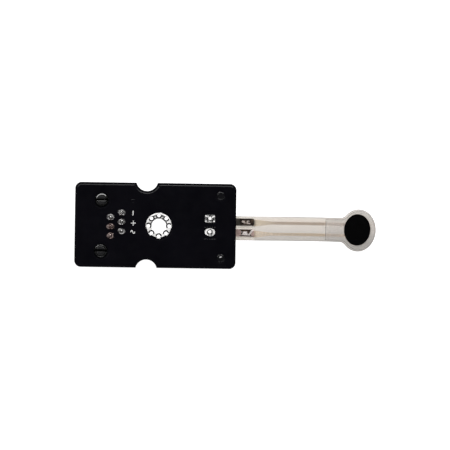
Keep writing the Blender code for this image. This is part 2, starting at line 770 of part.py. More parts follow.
def make_chips(module):
    looks = {
        "divider_resistor": make_material("resistor_body", (0.02, 0.02, 0.02), 0.4),
        "filter_capacitor": make_material("capacitor_body", (0.42, 0.30, 0.18), 0.5),
    }
    for name, place in CHIP_PLACES.items():
        add_object(name, chip_mesh(name, place), looks[name], module)


def main():
    clear_scene()
    module = add_empty("module", (MODULE_X, 0.0, 0.0))
    make_board(module)
    make_mount_plating(module)
    make_jack_housing(module)
    make_contact_carrier(module)
    make_contacts(module)
    make_solder_joints(module)
    make_film(module)
    make_terminals(module)
    make_hole_plugs(module)
    make_chips(module)


main()
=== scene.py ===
"""The looks of the film pressure sensor module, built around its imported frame."""

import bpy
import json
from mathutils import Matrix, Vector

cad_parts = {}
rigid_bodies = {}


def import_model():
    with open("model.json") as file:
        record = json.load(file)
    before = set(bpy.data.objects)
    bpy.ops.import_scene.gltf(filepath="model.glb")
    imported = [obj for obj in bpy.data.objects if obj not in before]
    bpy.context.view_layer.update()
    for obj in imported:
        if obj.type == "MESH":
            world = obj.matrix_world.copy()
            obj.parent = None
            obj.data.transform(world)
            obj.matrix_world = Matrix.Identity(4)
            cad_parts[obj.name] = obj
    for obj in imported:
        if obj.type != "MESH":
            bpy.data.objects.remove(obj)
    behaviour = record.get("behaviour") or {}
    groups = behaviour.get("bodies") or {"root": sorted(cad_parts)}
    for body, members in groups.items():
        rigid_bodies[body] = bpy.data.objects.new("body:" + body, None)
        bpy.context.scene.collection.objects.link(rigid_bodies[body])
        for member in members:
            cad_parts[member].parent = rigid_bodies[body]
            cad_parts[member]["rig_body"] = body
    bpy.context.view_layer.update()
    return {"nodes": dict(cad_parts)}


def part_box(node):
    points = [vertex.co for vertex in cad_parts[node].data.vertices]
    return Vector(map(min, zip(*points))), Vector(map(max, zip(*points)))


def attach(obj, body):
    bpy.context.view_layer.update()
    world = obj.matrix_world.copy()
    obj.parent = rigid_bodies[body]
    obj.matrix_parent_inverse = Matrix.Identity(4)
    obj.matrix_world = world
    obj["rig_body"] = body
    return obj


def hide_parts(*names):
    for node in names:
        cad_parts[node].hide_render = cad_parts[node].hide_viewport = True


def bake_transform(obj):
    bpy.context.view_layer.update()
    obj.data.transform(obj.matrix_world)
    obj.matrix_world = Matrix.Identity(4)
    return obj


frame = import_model()

import json
import math

import bmesh
import bpy
from mathutils import Matrix, Vector
from mathutils.geometry import tessellate_polygon

MM = 0.001
QUARTER = math.pi / 2


def plan_centre(node):
    low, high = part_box(node)
    return ((low.x + high.x) / 2, (low.y + high.y) / 2)


def plan_radii(node):
    low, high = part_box(node)
    return ((high.x - low.x) / 2, (high.y - low.y) / 2)


# The board, whose centre and faces come from the frame
BOARD_LOW, BOARD_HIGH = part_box("circuit_board")
BOARD_X = (BOARD_LOW.x + BOARD_HIGH.x) / 2
BOARD_TOP = BOARD_HIGH.z
BOARD_UNDER = BOARD_LOW.z
CORNER_RADIUS = 1.5 * MM
NOTCH_X = -2.07 * MM
NOTCH_BEYOND_EDGE = 0.62 * MM
NOTCH_RADIUS = 2.56 * MM
POUR_MARGIN = 0.5 * MM
POUR_HEIGHT = 0.035 * MM
POUR_SLOPE = 0.10 * MM
POUR_HOLE_SLOPE = 0.28 * MM
MARK_X = BOARD_X - 5.30 * MM
CONTACTS = range(1, 7)
PLUGS = {"upper": "board_plug_upper", "lower": "board_plug_lower"}
PADS = ("sensor_solder_square", "sensor_solder_round")

# The plated mounting hole and its ring of small vias
RING = "mounting_hole_plating"
RING_CENTRE = plan_centre(RING)
BORE_RADIUS = 1.70 * MM
VIA_COUNT = 8
VIA_CIRCLE = 2.43 * MM
VIA_RADIUS = 0.42 * MM

# The snap pegs of the jack: each profile has a radius, a height and the slot's easing, in mm
PEG_PLACES = ((BOARD_X - 12.70 * MM, 5.90 * MM), (BOARD_X - 12.80 * MM, -6.12 * MM))
PEG_HOLE_RADIUS = 1.6 * MM
PEG_SLOT = 0.29 * MM
PEG_PROFILE = (
    (1.19, 0.06, 0.0),
    (1.38, 0.28, 0.0),
    (1.39, 0.60, 0.0),
    (1.37, 0.66, 0.0),
    (1.34, 0.69, 0.0),
    (1.16, 0.767, 0.03),
    (1.08, 0.78, 0.06),
)
PEG_END_PROFILE = ((1.10, 0.76, 0.05), (1.10, 0.784, 0.05), (1.07, 0.788, 0.07))

# The film: s runs along it, w across it and t through it
CRIMPED_LOW, CRIMPED_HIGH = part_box("film_crimped_end")
FILM_START = CRIMPED_LOW.x
FILM_Y = (CRIMPED_LOW.y + CRIMPED_HIGH.y) / 2
FILM_Z = (CRIMPED_LOW.z + CRIMPED_HIGH.z) / 2 + 0.01 * MM
FILM_HALF_WIDTH = (CRIMPED_HIGH.y - CRIMPED_LOW.y) / 2
BEND_START = BOARD_X + 23.6 * MM
BEND_RADIUS = 37.4 * MM
HEAD_TILT = math.radians(33.0)
HEAD_TWIST = math.radians(4.3)
TAIL_YAW = math.radians(0.45)
NECK_START = BEND_START + BEND_RADIUS * HEAD_TILT
NECK_FILLET = 2.5 * MM
DISC_S = NECK_START + 4.34 * MM
DISC_CENTRE = (DISC_S, 0.13 * MM)
DISC_RADIUS = 3.72 * MM
WINDOW_RADIUS = 3.85 * MM
HEAD_CENTRE = DISC_S + 0.40 * MM
HEAD_RADIUS = 4.96 * MM
COVER_START = BEND_START + 17.0 * MM
# Where the painted brightening of the film near its crimps ends
BRIGHTENING_END = BEND_START + 0.2 * MM
FADE_LENGTH = 26.0 * MM

# Heights through the film, from its middle
BASE_SHEET = (-0.20 * MM, -0.07 * MM)
PRINTED_INK = (-0.07 * MM, -0.04 * MM)
TAIL_COVER = (-0.04 * MM, 0.05 * MM)
HEAD_SPACER = (-0.04 * MM, 0.06 * MM)
HEAD_COVER = (0.06 * MM, 0.18 * MM)
CARBON_LAYER = (0.07 * MM, 0.14 * MM)
MEMBRANE_LAYER = (0.14 * MM, 0.18 * MM)

# Camera
VIEW_ELEVATION = 88.0
VIEW_ROLL = 0.85
VIEW_DISTANCE = 3.0
VIEW_WIDTH = 106.0 * MM
VIEW_TARGET = Vector((-0.17 * MM, 0.32 * MM, BOARD_TOP))
SENSOR_WIDTH = 36.0


# ---------------------------------------------------------------- materials


class Look:
    """A Principled material that is built up from procedural nodes, with sizes in millimetres."""

    def __init__(self, name, colour, roughness, metallic=0.0, alpha=1.0):
        self.material = bpy.data.materials.new(name)
        self.material.use_nodes = True
        self.nodes = self.material.node_tree.nodes
        self.links = self.material.node_tree.links
        self.shader = self.nodes["Principled BSDF"]
        self.material.diffuse_color = (*colour, 1.0)
        self.set("Base Color", (*colour, 1.0)).set("Roughness", roughness)
        self.set("Metallic", metallic).set("Alpha", alpha)
        self.place = self.nodes.new("ShaderNodeTexCoord")
        self.last_bump = None

    def set(self, socket, value):
        self.shader.inputs[socket].default_value = value
        return self

    def noise(self, size, detail, stretch):
        """A noise whose grain is about size, longer along the axes where stretch is over 1."""
        mapping = self.nodes.new("ShaderNodeMapping")
        mapping.inputs["Scale"].default_value = [1.0 / (size * MM * share) for share in stretch]
        self.links.new(self.place.outputs["Object"], mapping.inputs["Vector"])
        noise = self.nodes.new("ShaderNodeTexNoise")
        noise.inputs["Scale"].default_value = 1.0
        noise.inputs["Detail"].default_value = detail
        self.links.new(mapping.outputs["Vector"], noise.inputs["Vector"])
        return noise.outputs["Fac"]

    def attribute(self, name):
        node = self.nodes.new("ShaderNodeAttribute")
        node.attribute_name = name
        return node.outputs["Fac"]

    def ramp(self, factor, *stops):
        ramp = self.nodes.new("ShaderNodeValToRGB")
        elements = ramp.color_ramp.elements
        while len(elements) < len(stops):
            elements.new(0.5)
        for element, (place, colour) in zip(elements, stops):
            element.position = place
            element.color = (*colour, 1.0)
        self.links.new(factor, ramp.inputs["Fac"])
        return ramp.outputs["Color"]

    def colour(self, factor, *stops):
        self.links.new(self.ramp(factor, *stops), self.shader.inputs["Base Color"])
        return self

    def mottle(self, size, low, high, detail=3.0, span=(0.35, 0.65), stretch=(1.0, 1.0, 1.0)):
        """Lets the colour wander between two tones."""
        return self.colour(self.noise(size, detail, stretch), (span[0], low), (span[1], high))

    def gloss(self, size, low, high, detail=3.0, stretch=(1.0, 1.0, 1.0)):
        """Lets the roughness wander between two values."""
        scale = self.nodes.new("ShaderNodeMapRange")
        limits = {"From Min": 0.3, "From Max": 0.7, "To Min": low, "To Max": high}
        for socket, value in limits.items():
            scale.inputs[socket].default_value = value
        self.links.new(self.noise(size, detail, stretch), scale.inputs["Value"])
        self.links.new(scale.outputs["Result"], self.shader.inputs["Roughness"])
        return self

    def grain(self, size, height, strength=1.0, detail=2.0, stretch=(1.0, 1.0, 1.0)):
        """Adds a bump of the given height on top of those already there."""
        bump = self.nodes.new("ShaderNodeBump")
        bump.inputs["Strength"].default_value = strength
        bump.inputs["Distance"].default_value = height * MM
        self.links.new(self.noise(size, detail, stretch), bump.inputs["Height"])
        if self.last_bump:
            self.links.new(self.last_bump.outputs["Normal"], bump.inputs["Normal"])
        self.last_bump = bump
        self.links.new(bump.outputs["Normal"], self.shader.inputs["Normal"])
        return self

    def glow_through(self, colour, milky, clear, clear_map=None):
        """Lets light pass: a milky share of it spreads out, and a clear share goes straight on.

        A clear_map gives the clear share from place to place instead.
        """
        shader = self.shader.outputs["BSDF"]
        shares = (("Translucent", milky / (1.0 - clear), None), ("Transparent", clear, clear_map))
        for kind, share, share_map in shares:
            part = self.nodes.new(f"ShaderNodeBsdf{kind}")
            part.inputs["Color"].default_value = (*colour, 1.0)
            mix = self.nodes.new("ShaderNodeMixShader")
            mix.inputs["Fac"].default_value = share
            if share_map is not None:
                self.links.new(share_map, mix.inputs["Fac"])
            self.links.new(shader, mix.inputs[1])
            self.links.new(part.outputs["BSDF"], mix.inputs[2])
            shader = mix.outputs["Shader"]
        self.links.new(shader, self.nodes["Material Output"].inputs["Surface"])
        return self


def grey(level):
    return (level, level, level)


def solder_mask_look():
    look = Look("black_solder_mask", (0.0020, 0.0020, 0.0030), 0.22)
    look.set("Specular IOR Level", 0.2)
    look.mottle(6.0, (0.0019, 0.0018, 0.0030), (0.0027, 0.0025, 0.0041), 4.0)
    look.gloss(1.6, 0.18, 0.26, 5.0)
    look.grain(0.22, 0.004, 0.6).grain(2.4, 0.004, 0.3, 1.0)
    return look.material


def laminate_edge_look():
    look = Look("laminate_edge", (0.007, 0.006, 0.005), 0.62)
    dark, light = (0.004, 0.0037, 0.0030), (0.016, 0.013, 0.009)
    look.mottle(0.9, dark, light, 4.0, (0.38, 0.62), (1.0, 1.0, 0.14))
    look.grain(0.10, 0.02, 0.7, 2.0, (1.0, 1.0, 0.6))
    return look.material


def print_ink_look():
    look = Look("white_marking_ink", (0.80, 0.80, 0.78), 0.55)
    look.mottle(0.25, (0.60, 0.60, 0.59), (0.68, 0.68, 0.66), 3.0, (0.35, 0.60))
    return look.grain(0.08, 0.006).material


def faded_ink_look():
    look = Look("faded_marking_ink", grey(0.030), 0.6)
    return look.mottle(0.2, grey(0.014), grey(0.05)).grain(0.08, 0.006).material


def tin_look(name, low, high, grain, metallic=1.0):
    """Tin or solder whose roughness lies between low and high, with waves of size grain."""
    look = Look(name, (0.84, 0.83, 0.81), 0.25, metallic)
    look.mottle(1.1, (0.74, 0.73, 0.71), (0.97, 0.96, 0.95), 3.0, (0.35, 0.58))
    look.gloss(0.5, low, high, 4.0)
    look.grain(grain, 0.12 * grain, 0.6).grain(0.06, 0.003, 0.5)
    return look.material


# Dark tin: painted shade in the ring, and the dull tin of the square pad.
def dark_tin_look(name, dark, light):
    look = Look(name, dark, 0.5, 0.5)
    return look.mottle(0.5, dark, light).grain(0.10, 0.01, 0.6).material


def joint_solder_look(name, light, dark):
    look = Look(name, light, 0.3, 0.9)
    look.mottle(0.50, dark, light, 2.0, (0.42, 0.56))
    look.gloss(0.4, 0.12, 0.26, 4.0)
    return look.grain(0.42, 0.06, 0.8).material


def cut_lead_look():
    look = Look("sheared_lead", (0.95, 0.94, 0.92), 0.42)
    look.mottle(0.3, (0.90, 0.89, 0.88), (0.98, 0.97, 0.96), 3.0, (0.35, 0.60))
    return look.grain(0.05, 0.006, 0.6, 2.0, (6.0, 1.0, 1.0)).material


def peg_plastic_look():
    look = Look("glossy_peg_plastic", (0.0025, 0.0025, 0.003), 0.12)
    look.set("Specular IOR Level", 0.8)
    look.mottle(0.8, (0.0018, 0.0018, 0.002), grey(0.004))
    return look.gloss(0.4, 0.08, 0.18).grain(0.25, 0.003, 0.5).material


def peg_end_look():
    look = Look("dull_peg_end", (0.003, 0.003, 0.0035), 0.5)
    look.set("Specular IOR Level", 0.2)
    return look.mottle(0.5, grey(0.002), grey(0.006)).grain(0.08, 0.006, 0.6).material


def gold_look():
    look = Look("gold_plated_wire", (0.83, 0.60, 0.26), 0.24, 1.0)
    look.mottle(1.2, (0.72, 0.50, 0.20), (0.90, 0.68, 0.32))
    look.gloss(0.4, 0.18, 0.34, 3.0, (4.0, 1.0, 1.0))
    return look.grain(0.05, 0.003, 1.0, 2.0, (8.0, 1.0, 1.0)).material


def crimp_look(name, dark, middle, light):
    look = Look(name, middle, 0.32, 0.35)
    patches = look.noise(1.3, 3.0, (1.0, 1.0, 1.0))
    look.colour(patches, (0.30, dark), (0.50, middle), (0.70, light))
    look.gloss(0.6, 0.24, 0.44, 4.0)
    return look.grain(0.12, 0.008, 0.7, 2.0, (5.0, 1.0, 1.0)).material


# Lighter tin for the tines, as a painted highlight.
def tine_look(name, low, high):
    look = Look(name, high, 0.26, 0.3)
    look.mottle(0.5, low, high, 3.0, (0.34, 0.54))
    return look.gloss(0.3, 0.20, 0.36).grain(0.30, 0.025, 0.7).material


def jack_plastic_look():
    look = Look("black_jack_plastic", (0.006, 0.006, 0.007), 0.42)
    look.set("Specular IOR Level", 0.35)
    look.mottle(3.0, (0.004, 0.004, 0.005), (0.008, 0.008, 0.009))
    return look.gloss(0.9, 0.34, 0.50, 4.0).grain(0.09, 0.010, 0.6).material


def carrier_plastic_look():
    look = Look("grey_carrier_plastic", (0.045, 0.045, 0.047), 0.5)
    look.mottle(1.5, (0.035, 0.035, 0.037), (0.060, 0.060, 0.062))
    return look.grain(0.08, 0.008, 0.6).material


def resin_look():
    look = Look("glossy_black_resin", (0.004, 0.004, 0.005), 0.10)
    look.set("Coat Weight", 0.6).set("Coat Roughness", 0.05)
    return look.gloss(0.4, 0.08, 0.20).grain(0.35, 0.003, 0.5, 1.0).material


def base_film_look():
    """Milky film with painted shade that darkens it towards its near edge, and painted light that
    makes it clearer between its crimps.
    """
    look = Look("milky_polyester_film", (0.62, 0.59, 0.56), 0.30)
    # Painted shade: the film darkens towards its -Y edge.
    look.colour(
        look.attribute("film_w"),
        (0.00, grey(0.34)),
        (0.24, grey(0.19)),
        (0.34, (0.28, 0.265, 0.26)),
        (0.50, (0.60, 0.56, 0.54)),
        (0.68, (0.74, 0.64, 0.56)),
        (0.76, (0.78, 0.74, 0.71)),
        (1.00, grey(0.78)),
    )
    look.gloss(2.5, 0.22, 0.38)
    look.grain(1.8, 0.02, 0.4, 2.0, (3.0, 1.0, 1.0))
    # Painted light: a larger clear share up to the bend lets the bright floor through, against the
    # crimps' shadow.
    brightening_at_crimps, elsewhere = 0.66, 0.28
    clear_map = look.ramp(
        look.attribute("film_s"),
        (along_film(BRIGHTENING_END - 0.9 * MM), grey(brightening_at_crimps)),
        (along_film(BRIGHTENING_END), grey(elsewhere)),
    )
    look.glow_through((0.87, 0.84, 0.80), 0.36, elsewhere, clear_map)
    return look.material


def edge_shade_look():
    """A grey, half-clear line along the edge of the film, as painted shade."""
    look = Look("painted_edge_shade", (0.30, 0.29, 0.29), 0.5, 0.0, 0.42)
    look.mottle(0.8, (0.24, 0.235, 0.23), (0.36, 0.35, 0.345))
    return look.grain(0.15, 0.005).material


def clear_film_look(name, alpha, tint):
    look = Look(name, tint, 0.16, 0.0, alpha)
    look.mottle(2.2, tint, tuple(share * 1.05 for share in tint))
    return look.gloss(1.5, 0.10, 0.24).grain(2.4, 0.03, 0.4, 2.0, (2.0, 1.0, 1.0)).material


def spacer_look():
    look = Look("milky_spacer_adhesive", (0.60, 0.58, 0.56), 0.42)
    # Painted shade: the head darkens towards its -Y side.
    look.colour(
        look.attribute("film_w"),
        (0.00, grey(0.10)),
        (0.25, (0.42, 0.41, 0.41)),
        (0.50, (0.92, 0.88, 0.86)),
        (0.75, (0.84, 0.84, 0.83)),
        (1.00, grey(0.92)),
    )
    look.grain(0.5, 0.02, 0.5, 3.0)
    return look.glow_through((0.92, 0.91, 0.90), 0.24, 0.60).material


def silver_ink_look(name, wedge, trace):
    """Printed silver: one tone on the wedge, one on the trace, paler under the head's cover."""
    look = Look(name, trace, 0.48, 0.15)
    look.colour(
        look.attribute("film_s"),
        (along_film(BEND_START + 1.2 * MM), wedge),
        (along_film(BEND_START + 5.0 * MM), trace),
        (along_film(COVER_START - 0.2 * MM), trace),
        (along_film(COVER_START + 0.2 * MM), tuple(share * 1.7 for share in trace)),
    )
    look.gloss(1.0, 0.40, 0.56, 4.0, (4.0, 1.0, 1.0))
    return look.grain(0.07, 0.006, 0.6).material


def carbon_look():
    look = Look("carbon_ink", (0.0018, 0.0018, 0.0020), 0.45)
    look.set("Specular IOR Level", 0.04)
    look.mottle(0.9, (0.0009, 0.0009, 0.0010), (0.0014, 0.0014, 0.0016), 4.0)
    return look.grain(0.12, 0.008, 0.6, 3.0).material


def membrane_look():
    look = Look("clear_pad_membrane", (0.002, 0.002, 0.003), 0.30, 0.0, 0.03)
    return look.gloss(1.2, 0.24, 0.40).grain(1.6, 0.02, 0.4).material


def chip_body_look(name, low, high):
    return Look(name, low, 0.35).mottle(0.3, low, high).grain(0.06, 0.006).material


def floor_look():
    """Pale paper that is bright enough to read as a white table."""
    look = Look("pale_paper", grey(0.34), 0.9)
    look.set("Specular IOR Level", 0.1)
    look.set("Emission Color", (1.0, 1.0, 1.0, 1.0)).set("Emission Strength", 1.0)
    return look.grain(0.8, 0.01, 0.2, 3.0).material


# ---------------------------------------------------------------- mesh helpers


def arc_points(centre, radius, start, end, steps):
    angles = [start + (end - start) * step / steps for step in range(steps + 1)]
    return [(centre[0] + radius * math.cos(a), centre[1] + radius * math.sin(a)) for a in angles]


def circle_points(centre, radius, count):
    return arc_points(centre, radius, 0.0, math.tau * (count - 1) / count, count - 1)


def rectangle(low_u, low_v, high_u, high_v):
    return [(low_u, low_v), (high_u, low_v), (high_u, high_v), (low_u, high_v)]


def placed_rectangle(place, edges):
    """A rectangle whose low and high edges are given in millimetres from a place."""
    low_u, low_v, high_u, high_v = (edge * MM for edge in edges)
    u, v = place
    return rectangle(u + low_u, v + low_v, u + high_u, v + high_v)


def oval_loop(centre, radii, level, squareness=2.0, wobble=0.0, seed=0.0, count=48):
    """A loop between an ellipse, at squareness 2, and a rectangle, with a wavering radius."""
    points = []
    for step in range(count):
        angle = math.tau * (step + 0.5) / count
        c, s = math.cos(angle), math.sin(angle)
        reach = (abs(c) ** squareness + abs(s) ** squareness) ** (-1.0 / squareness)
        wave = math.sin(2 * angle + seed) + 0.6 * math.sin(3 * angle + 2.1 * seed)
        reach *= 1.0 + wobble * wave
        points.append((centre[0] + radii[0] * reach * c, centre[1] + radii[1] * reach * s, level))
    return points


def round_loop(centre, radius):
    return [point[:2] for point in oval_loop(centre, (radius, radius), 0.0)]


def turned_loops(centre, profile, base, count):
    """Round loops, one for each radius and height of a profile in millimetres."""
    return [oval_loop(centre, (r * MM, r * MM), base + h * MM, count=count) for r, h in profile]


def offset_loop(loop, distance):
    """The loop moved to its left by a distance, which is inwards where it runs anticlockwise."""
    moved = []
    for index, point in enumerate(loop):
        before = Vector(loop[index - 1])
        here = Vector(point)
        after = Vector(loop[(index + 1) % len(loop)])
        first = (here - before).normalized()
        second = (after - here).normalized()
        left = Vector((-first.y - second.y, first.x + second.x)).normalized()
        share = max(left.dot(Vector((-first.y, first.x))), 0.5)
        moved.append(tuple(here + left * (distance / share)))
    return moved


def flat_faces(shape):
    return shape.faces.layers.int.get("stays_flat") or shape.faces.layers.int.new("stays_flat")


def add_face(shape, loops, level):
    """A flat face, marked so that it stays flat where its rims are smoothed."""
    rings = [[Vector((u, v, level)) for u, v in loop] for loop in loops]
    verts = [shape.verts.new(point) for ring in rings for point in ring]
    flat = flat_faces(shape)
    for corners in tessellate_polygon(rings):
        shape.faces.new([verts[index] for index in corners])[flat] = 1


def add_band(shape, low_loop, low, high_loop, high, material_index=0):
    lower = [shape.verts.new((u, v, low)) for u, v in low_loop]
    upper = [shape.verts.new((u, v, high)) for u, v in high_loop]
    for index in range(len(lower)):
        after = (index + 1) % len(lower)
        face = shape.faces.new((lower[index], lower[after], upper[after], upper[index]))
        face.material_index = material_index


def add_prism(shape, loops, low, high):
    add_face(shape, loops, high)
    add_face(shape, loops, low)
    for loop in loops:
        add_band(shape, loop, low, loop, high)


def finish_shape(shape, smooth_angle=None):
    bmesh.ops.remove_doubles(shape, verts=shape.verts, dist=1e-8)
    bmesh.ops.recalc_face_normals(shape, faces=shape.faces)
    flat = flat_faces(shape)
    stays_flat = [face[flat] for face in shape.faces]
    mesh = bpy.data.meshes.new("mesh")
    shape.to_mesh(mesh)
    shape.free()
    if smooth_angle is not None:
        mesh.shade_smooth()
        mesh.set_sharp_from_angle(angle=math.radians(smooth_angle))
        for polygon, flat in zip(mesh.polygons, stays_flat):
            polygon.use_smooth = not flat
    return mesh


def add_object(name, data):
    data.name = name
    obj = bpy.data.objects.new(name, data)
    bpy.context.scene.collection.objects.link(obj)
    return obj


def add_piece(name, mesh, materials, body="board", stands_for=()):
    """Adds a piece that rides on a body, or on none."""
    obj = add_object(name, mesh)
    for material in materials if isinstance(materials, list) else [materials]:
        mesh.materials.append(material)
    if body is not None:
        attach(obj, body)
    if stands_for:
        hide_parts(*stands_for)
    return obj


def plate_mesh(loops, low, high, ease, wall_material=0):
    """A plate with rounded rims: the first loop is its outline and the others are holes."""
    shape = bmesh.new()
    steps = [(0.0, 1.0), (0.29, 0.29), (1.0, 0.0)]
    inner = []
    for index, loop in enumerate(loops):
        side = 1.0 if index == 0 else -1.0
        rims = [(offset_loop(loop, side * ease * inset), ease * drop) for inset, drop in steps]
        add_band(shape, loop, low + ease, loop, high - ease, wall_material)
        for (near, near_drop), (far, far_drop) in zip(rims, rims[1:]):
            add_band(shape, near, high - near_drop, far, high - far_drop)
            add_band(shape, near, low + near_drop, far, low + far_drop)
        inner.append(rims[-1][0])
    add_face(shape, inner, high)
    add_face(shape, inner, low)
    return finish_shape(shape, smooth_angle=40)


def relief_mesh(loops, base, top):
    """A thin raised area whose rims slope down to the surface that it lies on."""
    shape = bmesh.new()
    shoulder = base + (top - base) * 0.62
    inner = []
    for index, loop in enumerate(loops):
        reach = POUR_SLOPE if index == 0 else -POUR_HOLE_SLOPE
        middle = offset_loop(loop, reach * 0.5)
        edge = offset_loop(loop, reach)
        add_band(shape, loop, base, middle, shoulder)
        add_band(shape, middle, shoulder, edge, top)
        inner.append(edge)
    add_face(shape, inner, top)
    add_face(shape, loops, base)
    return finish_shape(shape, smooth_angle=50)


def strip_mesh(points, width, low, high):
    """A flat printed line with round ends along a path."""
    left, right = [], []
    for index, point in enumerate(points):
        before = Vector(points[max(index - 1, 0)])
        after = Vector(points[min(index + 1, len(points) - 1)])
        along = (after - before).normalized()
        side = Vector((-along.y, along.x)) * width / 2
        left.append(tuple(Vector(point) + side))
        right.append(tuple(Vector(point) - side))
    start = math.atan2(points[1][1] - points[0][1], points[1][0] - points[0][0])
    end = math.atan2(points[-1][1] - points[-2][1], points[-1][0] - points[-2][0])
    loop = list(right)
    loop += arc_points(points[-1], width / 2, end - QUARTER, end + QUARTER, 8)[1:-1]
    loop += list(reversed(left))
    loop += arc_points(points[0], width / 2, start + QUARTER, start + 3 * QUARTER, 8)[1:-1]
    shape = bmesh.new()
    add_prism(shape, [loop], low, high)
    return finish_shape(shape, smooth_angle=40)


def loft_mesh(loops, smooth_angle=60):
    """A closed skin through loops of equal length, one above the other."""
    shape = bmesh.new()
    rings = [[shape.verts.new(point) for point in loop] for loop in loops]
    for ring, following in zip(rings, rings[1:]):
        for corner in range(len(ring)):
            after = (corner + 1) % len(ring)
            shape.faces.new((ring[corner], ring[after], following[after], following[corner]))
    shape.faces.new(rings[-1])
    shape.faces.new(list(reversed(rings[0])))
    return finish_shape(shape, smooth_angle)


def tube_mesh(points, radius):
    """A round wire through points, with softly domed ends."""
    sides, dome, tip_share = 14, radius * 0.35, 0.55
    path = [Vector(point) for point in points]
    first = (path[1] - path[0]).normalized()
    last = (path[-1] - path[-2]).normalized()
    stations = [(path[0], first, tip_share), (path[0] + first * dome, first, 1.0)]
    for before, here, after in zip(path, path[1:], path[2:]):
        stations.append((here, (after - before).normalized(), 1.0))
    stations += [(path[-1] - last * dome, last, 1.0), (path[-1], last, tip_share)]
    side = Vector((0.0, 1.0, 0.0))
    round_section = circle_points((0.0, 0.0), radius, sides)
    loops = []
    for centre, along, share in stations:
        up = along.cross(side).normalized()
        loops.append([centre + share * (u * side + v * up) for u, v in round_section])
    return loft_mesh(loops)


def softened(node, name, material, width, round_front=0.0):
    """A copy of a CAD node with its edges rounded, which stands for that node."""
    shape = bmesh.new()
    shape.from_mesh(frame["nodes"][node].data)
    for layer in list(shape.loops.layers.float_vector.values()):
        shape.loops.layers.float_vector.remove(layer)
    bmesh.ops.remove_doubles(shape, verts=shape.verts, dist=1e-7)
    flatness = math.radians(2)
    bmesh.ops.dissolve_limit(shape, angle_limit=flatness, verts=shape.verts, edges=shape.edges)
    if round_front:
        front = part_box(node)[1].x - 0.01 * MM
        ends = []
        for edge in shape.edges:
            one, other = (vert.co for vert in edge.verts)
            if min(one.x, other.x) > front and abs(one.y - other.y) < 1e-6:
                ends.append(edge)
        rounding = {"offset": round_front, "segments": 6, "profile": 0.5, "affect": "EDGES"}
        bmesh.ops.bevel(shape, geom=ends, **rounding)
    for face in shape.faces:
        face.material_index = 0
    mesh = bpy.data.meshes.new(name)
    shape.to_mesh(mesh)
    shape.free()
    mesh.materials.clear()
    if "custom_normal" in mesh.attributes:
        mesh.attributes.remove(mesh.attributes["custom_normal"])
    obj = add_piece(name, mesh, material, frame["nodes"][node]["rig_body"], [node])
    bevel = obj.modifiers.new("rounded_edges", "BEVEL")
    bevel.width = width
    bevel.segments = 2
    bevel.limit_method = "ANGLE"
    bevel.angle_limit = math.radians(30)
    bevel.use_clamp_overlap = True
    mesh.shade_smooth()
    mesh.set_sharp_from_angle(angle=math.radians(40))


# ---------------------------------------------------------------- circuit board


def board_outline():
    """A rectangle with round corners and a round notch in each long side."""
    half_x, half_y = plan_radii("circuit_board")
    in_x, in_y = half_x - CORNER_RADIUS, half_y - CORNER_RADIUS
    notch_y = half_y + NOTCH_BEYOND_EDGE
    rise = math.asin(NOTCH_BEYOND_EDGE / NOTCH_RADIUS)
    points = arc_points((-in_x, -in_y), CORNER_RADIUS, math.pi, 3 * QUARTER, 12)
    points += arc_points((NOTCH_X, -notch_y), NOTCH_RADIUS, math.pi - rise, rise, 40)
    points += arc_points((in_x, -in_y), CORNER_RADIUS, -QUARTER, 0.0, 12)
    points += arc_points((in_x, in_y), CORNER_RADIUS, 0.0, QUARTER, 12)
    points += arc_points((NOTCH_X, notch_y), NOTCH_RADIUS, -rise, rise - math.pi, 40)
    points += arc_points((-in_x, in_y), CORNER_RADIUS, QUARTER, math.pi, 12)
    return [(BOARD_X + x, y) for x, y in points]


def ring_vias():
    angles = [math.tau * index / VIA_COUNT for index in range(VIA_COUNT)]
    x, y = RING_CENTRE
    return [(x + VIA_CIRCLE * math.cos(a), y + VIA_CIRCLE * math.sin(a)) for a in angles]


def hole_loops():
    """Every hole through the board, as loops."""
    joints = [plan_centre(f"jack_solder_{number}") for number in CONTACTS]
    holes = [([RING_CENTRE], BORE_RADIUS + 0.08 * MM, 64)]
    holes.append((ring_vias(), VIA_RADIUS + 0.02 * MM, 20))
    holes.append((PEG_PLACES, PEG_HOLE_RADIUS, 40))
    holes.append((joints, 0.45 * MM, 20))
    holes.append(([plan_centre(pad) for pad in PADS], 0.5 * MM, 20))
    holes.append(([plan_centre(plug) for plug in PLUGS.values()], 0.85 * MM, 28))
    loops = []
    for places, radius, count in holes:
        loops += [circle_points(place, radius, count) for place in places]
    return loops


def pad_field():
    """A rounded rectangle that keeps the copper pour away from the two sensor pads."""
    half_x, half_y, radius = 1.7 * MM, 3.1 * MM, 0.5 * MM
    square, round_pad = (plan_centre(pad) for pad in PADS)
    middle_y = (square[1] + round_pad[1]) / 2
    points = []
    for turn, (side_x, side_y) in enumerate(((1, 1), (-1, 1), (-1, -1), (1, -1))):
        place = (square[0] + side_x * (half_x - radius), middle_y + side_y * (half_y - radius))
        points += arc_points(place, radius, QUARTER * turn, QUARTER * (turn + 1), 6)
    return points


def make_board(mask):
    """The laminate, and the copper pours that show through its solder mask."""
    loops = [board_outline(), *hole_loops()]
    mesh = plate_mesh(loops, BOARD_UNDER, BOARD_TOP, ease=0.05 * MM, wall_material=1)
    looks = [mask, laminate_edge_look()]
    add_piece("board_laminate", mesh, looks, "board", ["circuit_board"])
    outline = offset_loop(board_outline(), POUR_MARGIN)
    clear = [circle_points(RING_CENTRE, 3.25 * MM, 64)]
    clear += [circle_points(place, PEG_HOLE_RADIUS + 0.3 * MM, 40) for place in PEG_PLACES]
    clear_top = [*clear, pad_field()]
    clear_top += [circle_points(plan_centre(plug), 1.15 * MM, 28) for plug in PLUGS.values()]
    sink = 0.01 * MM
    top = relief_mesh([outline, *clear_top], BOARD_TOP - sink, BOARD_TOP + POUR_HEIGHT)
    add_piece("copper_pour_top", top, mask)
    under = relief_mesh([outline, *clear], BOARD_UNDER + sink, BOARD_UNDER - POUR_HEIGHT)
    add_piece("copper_pour_under", under, mask)


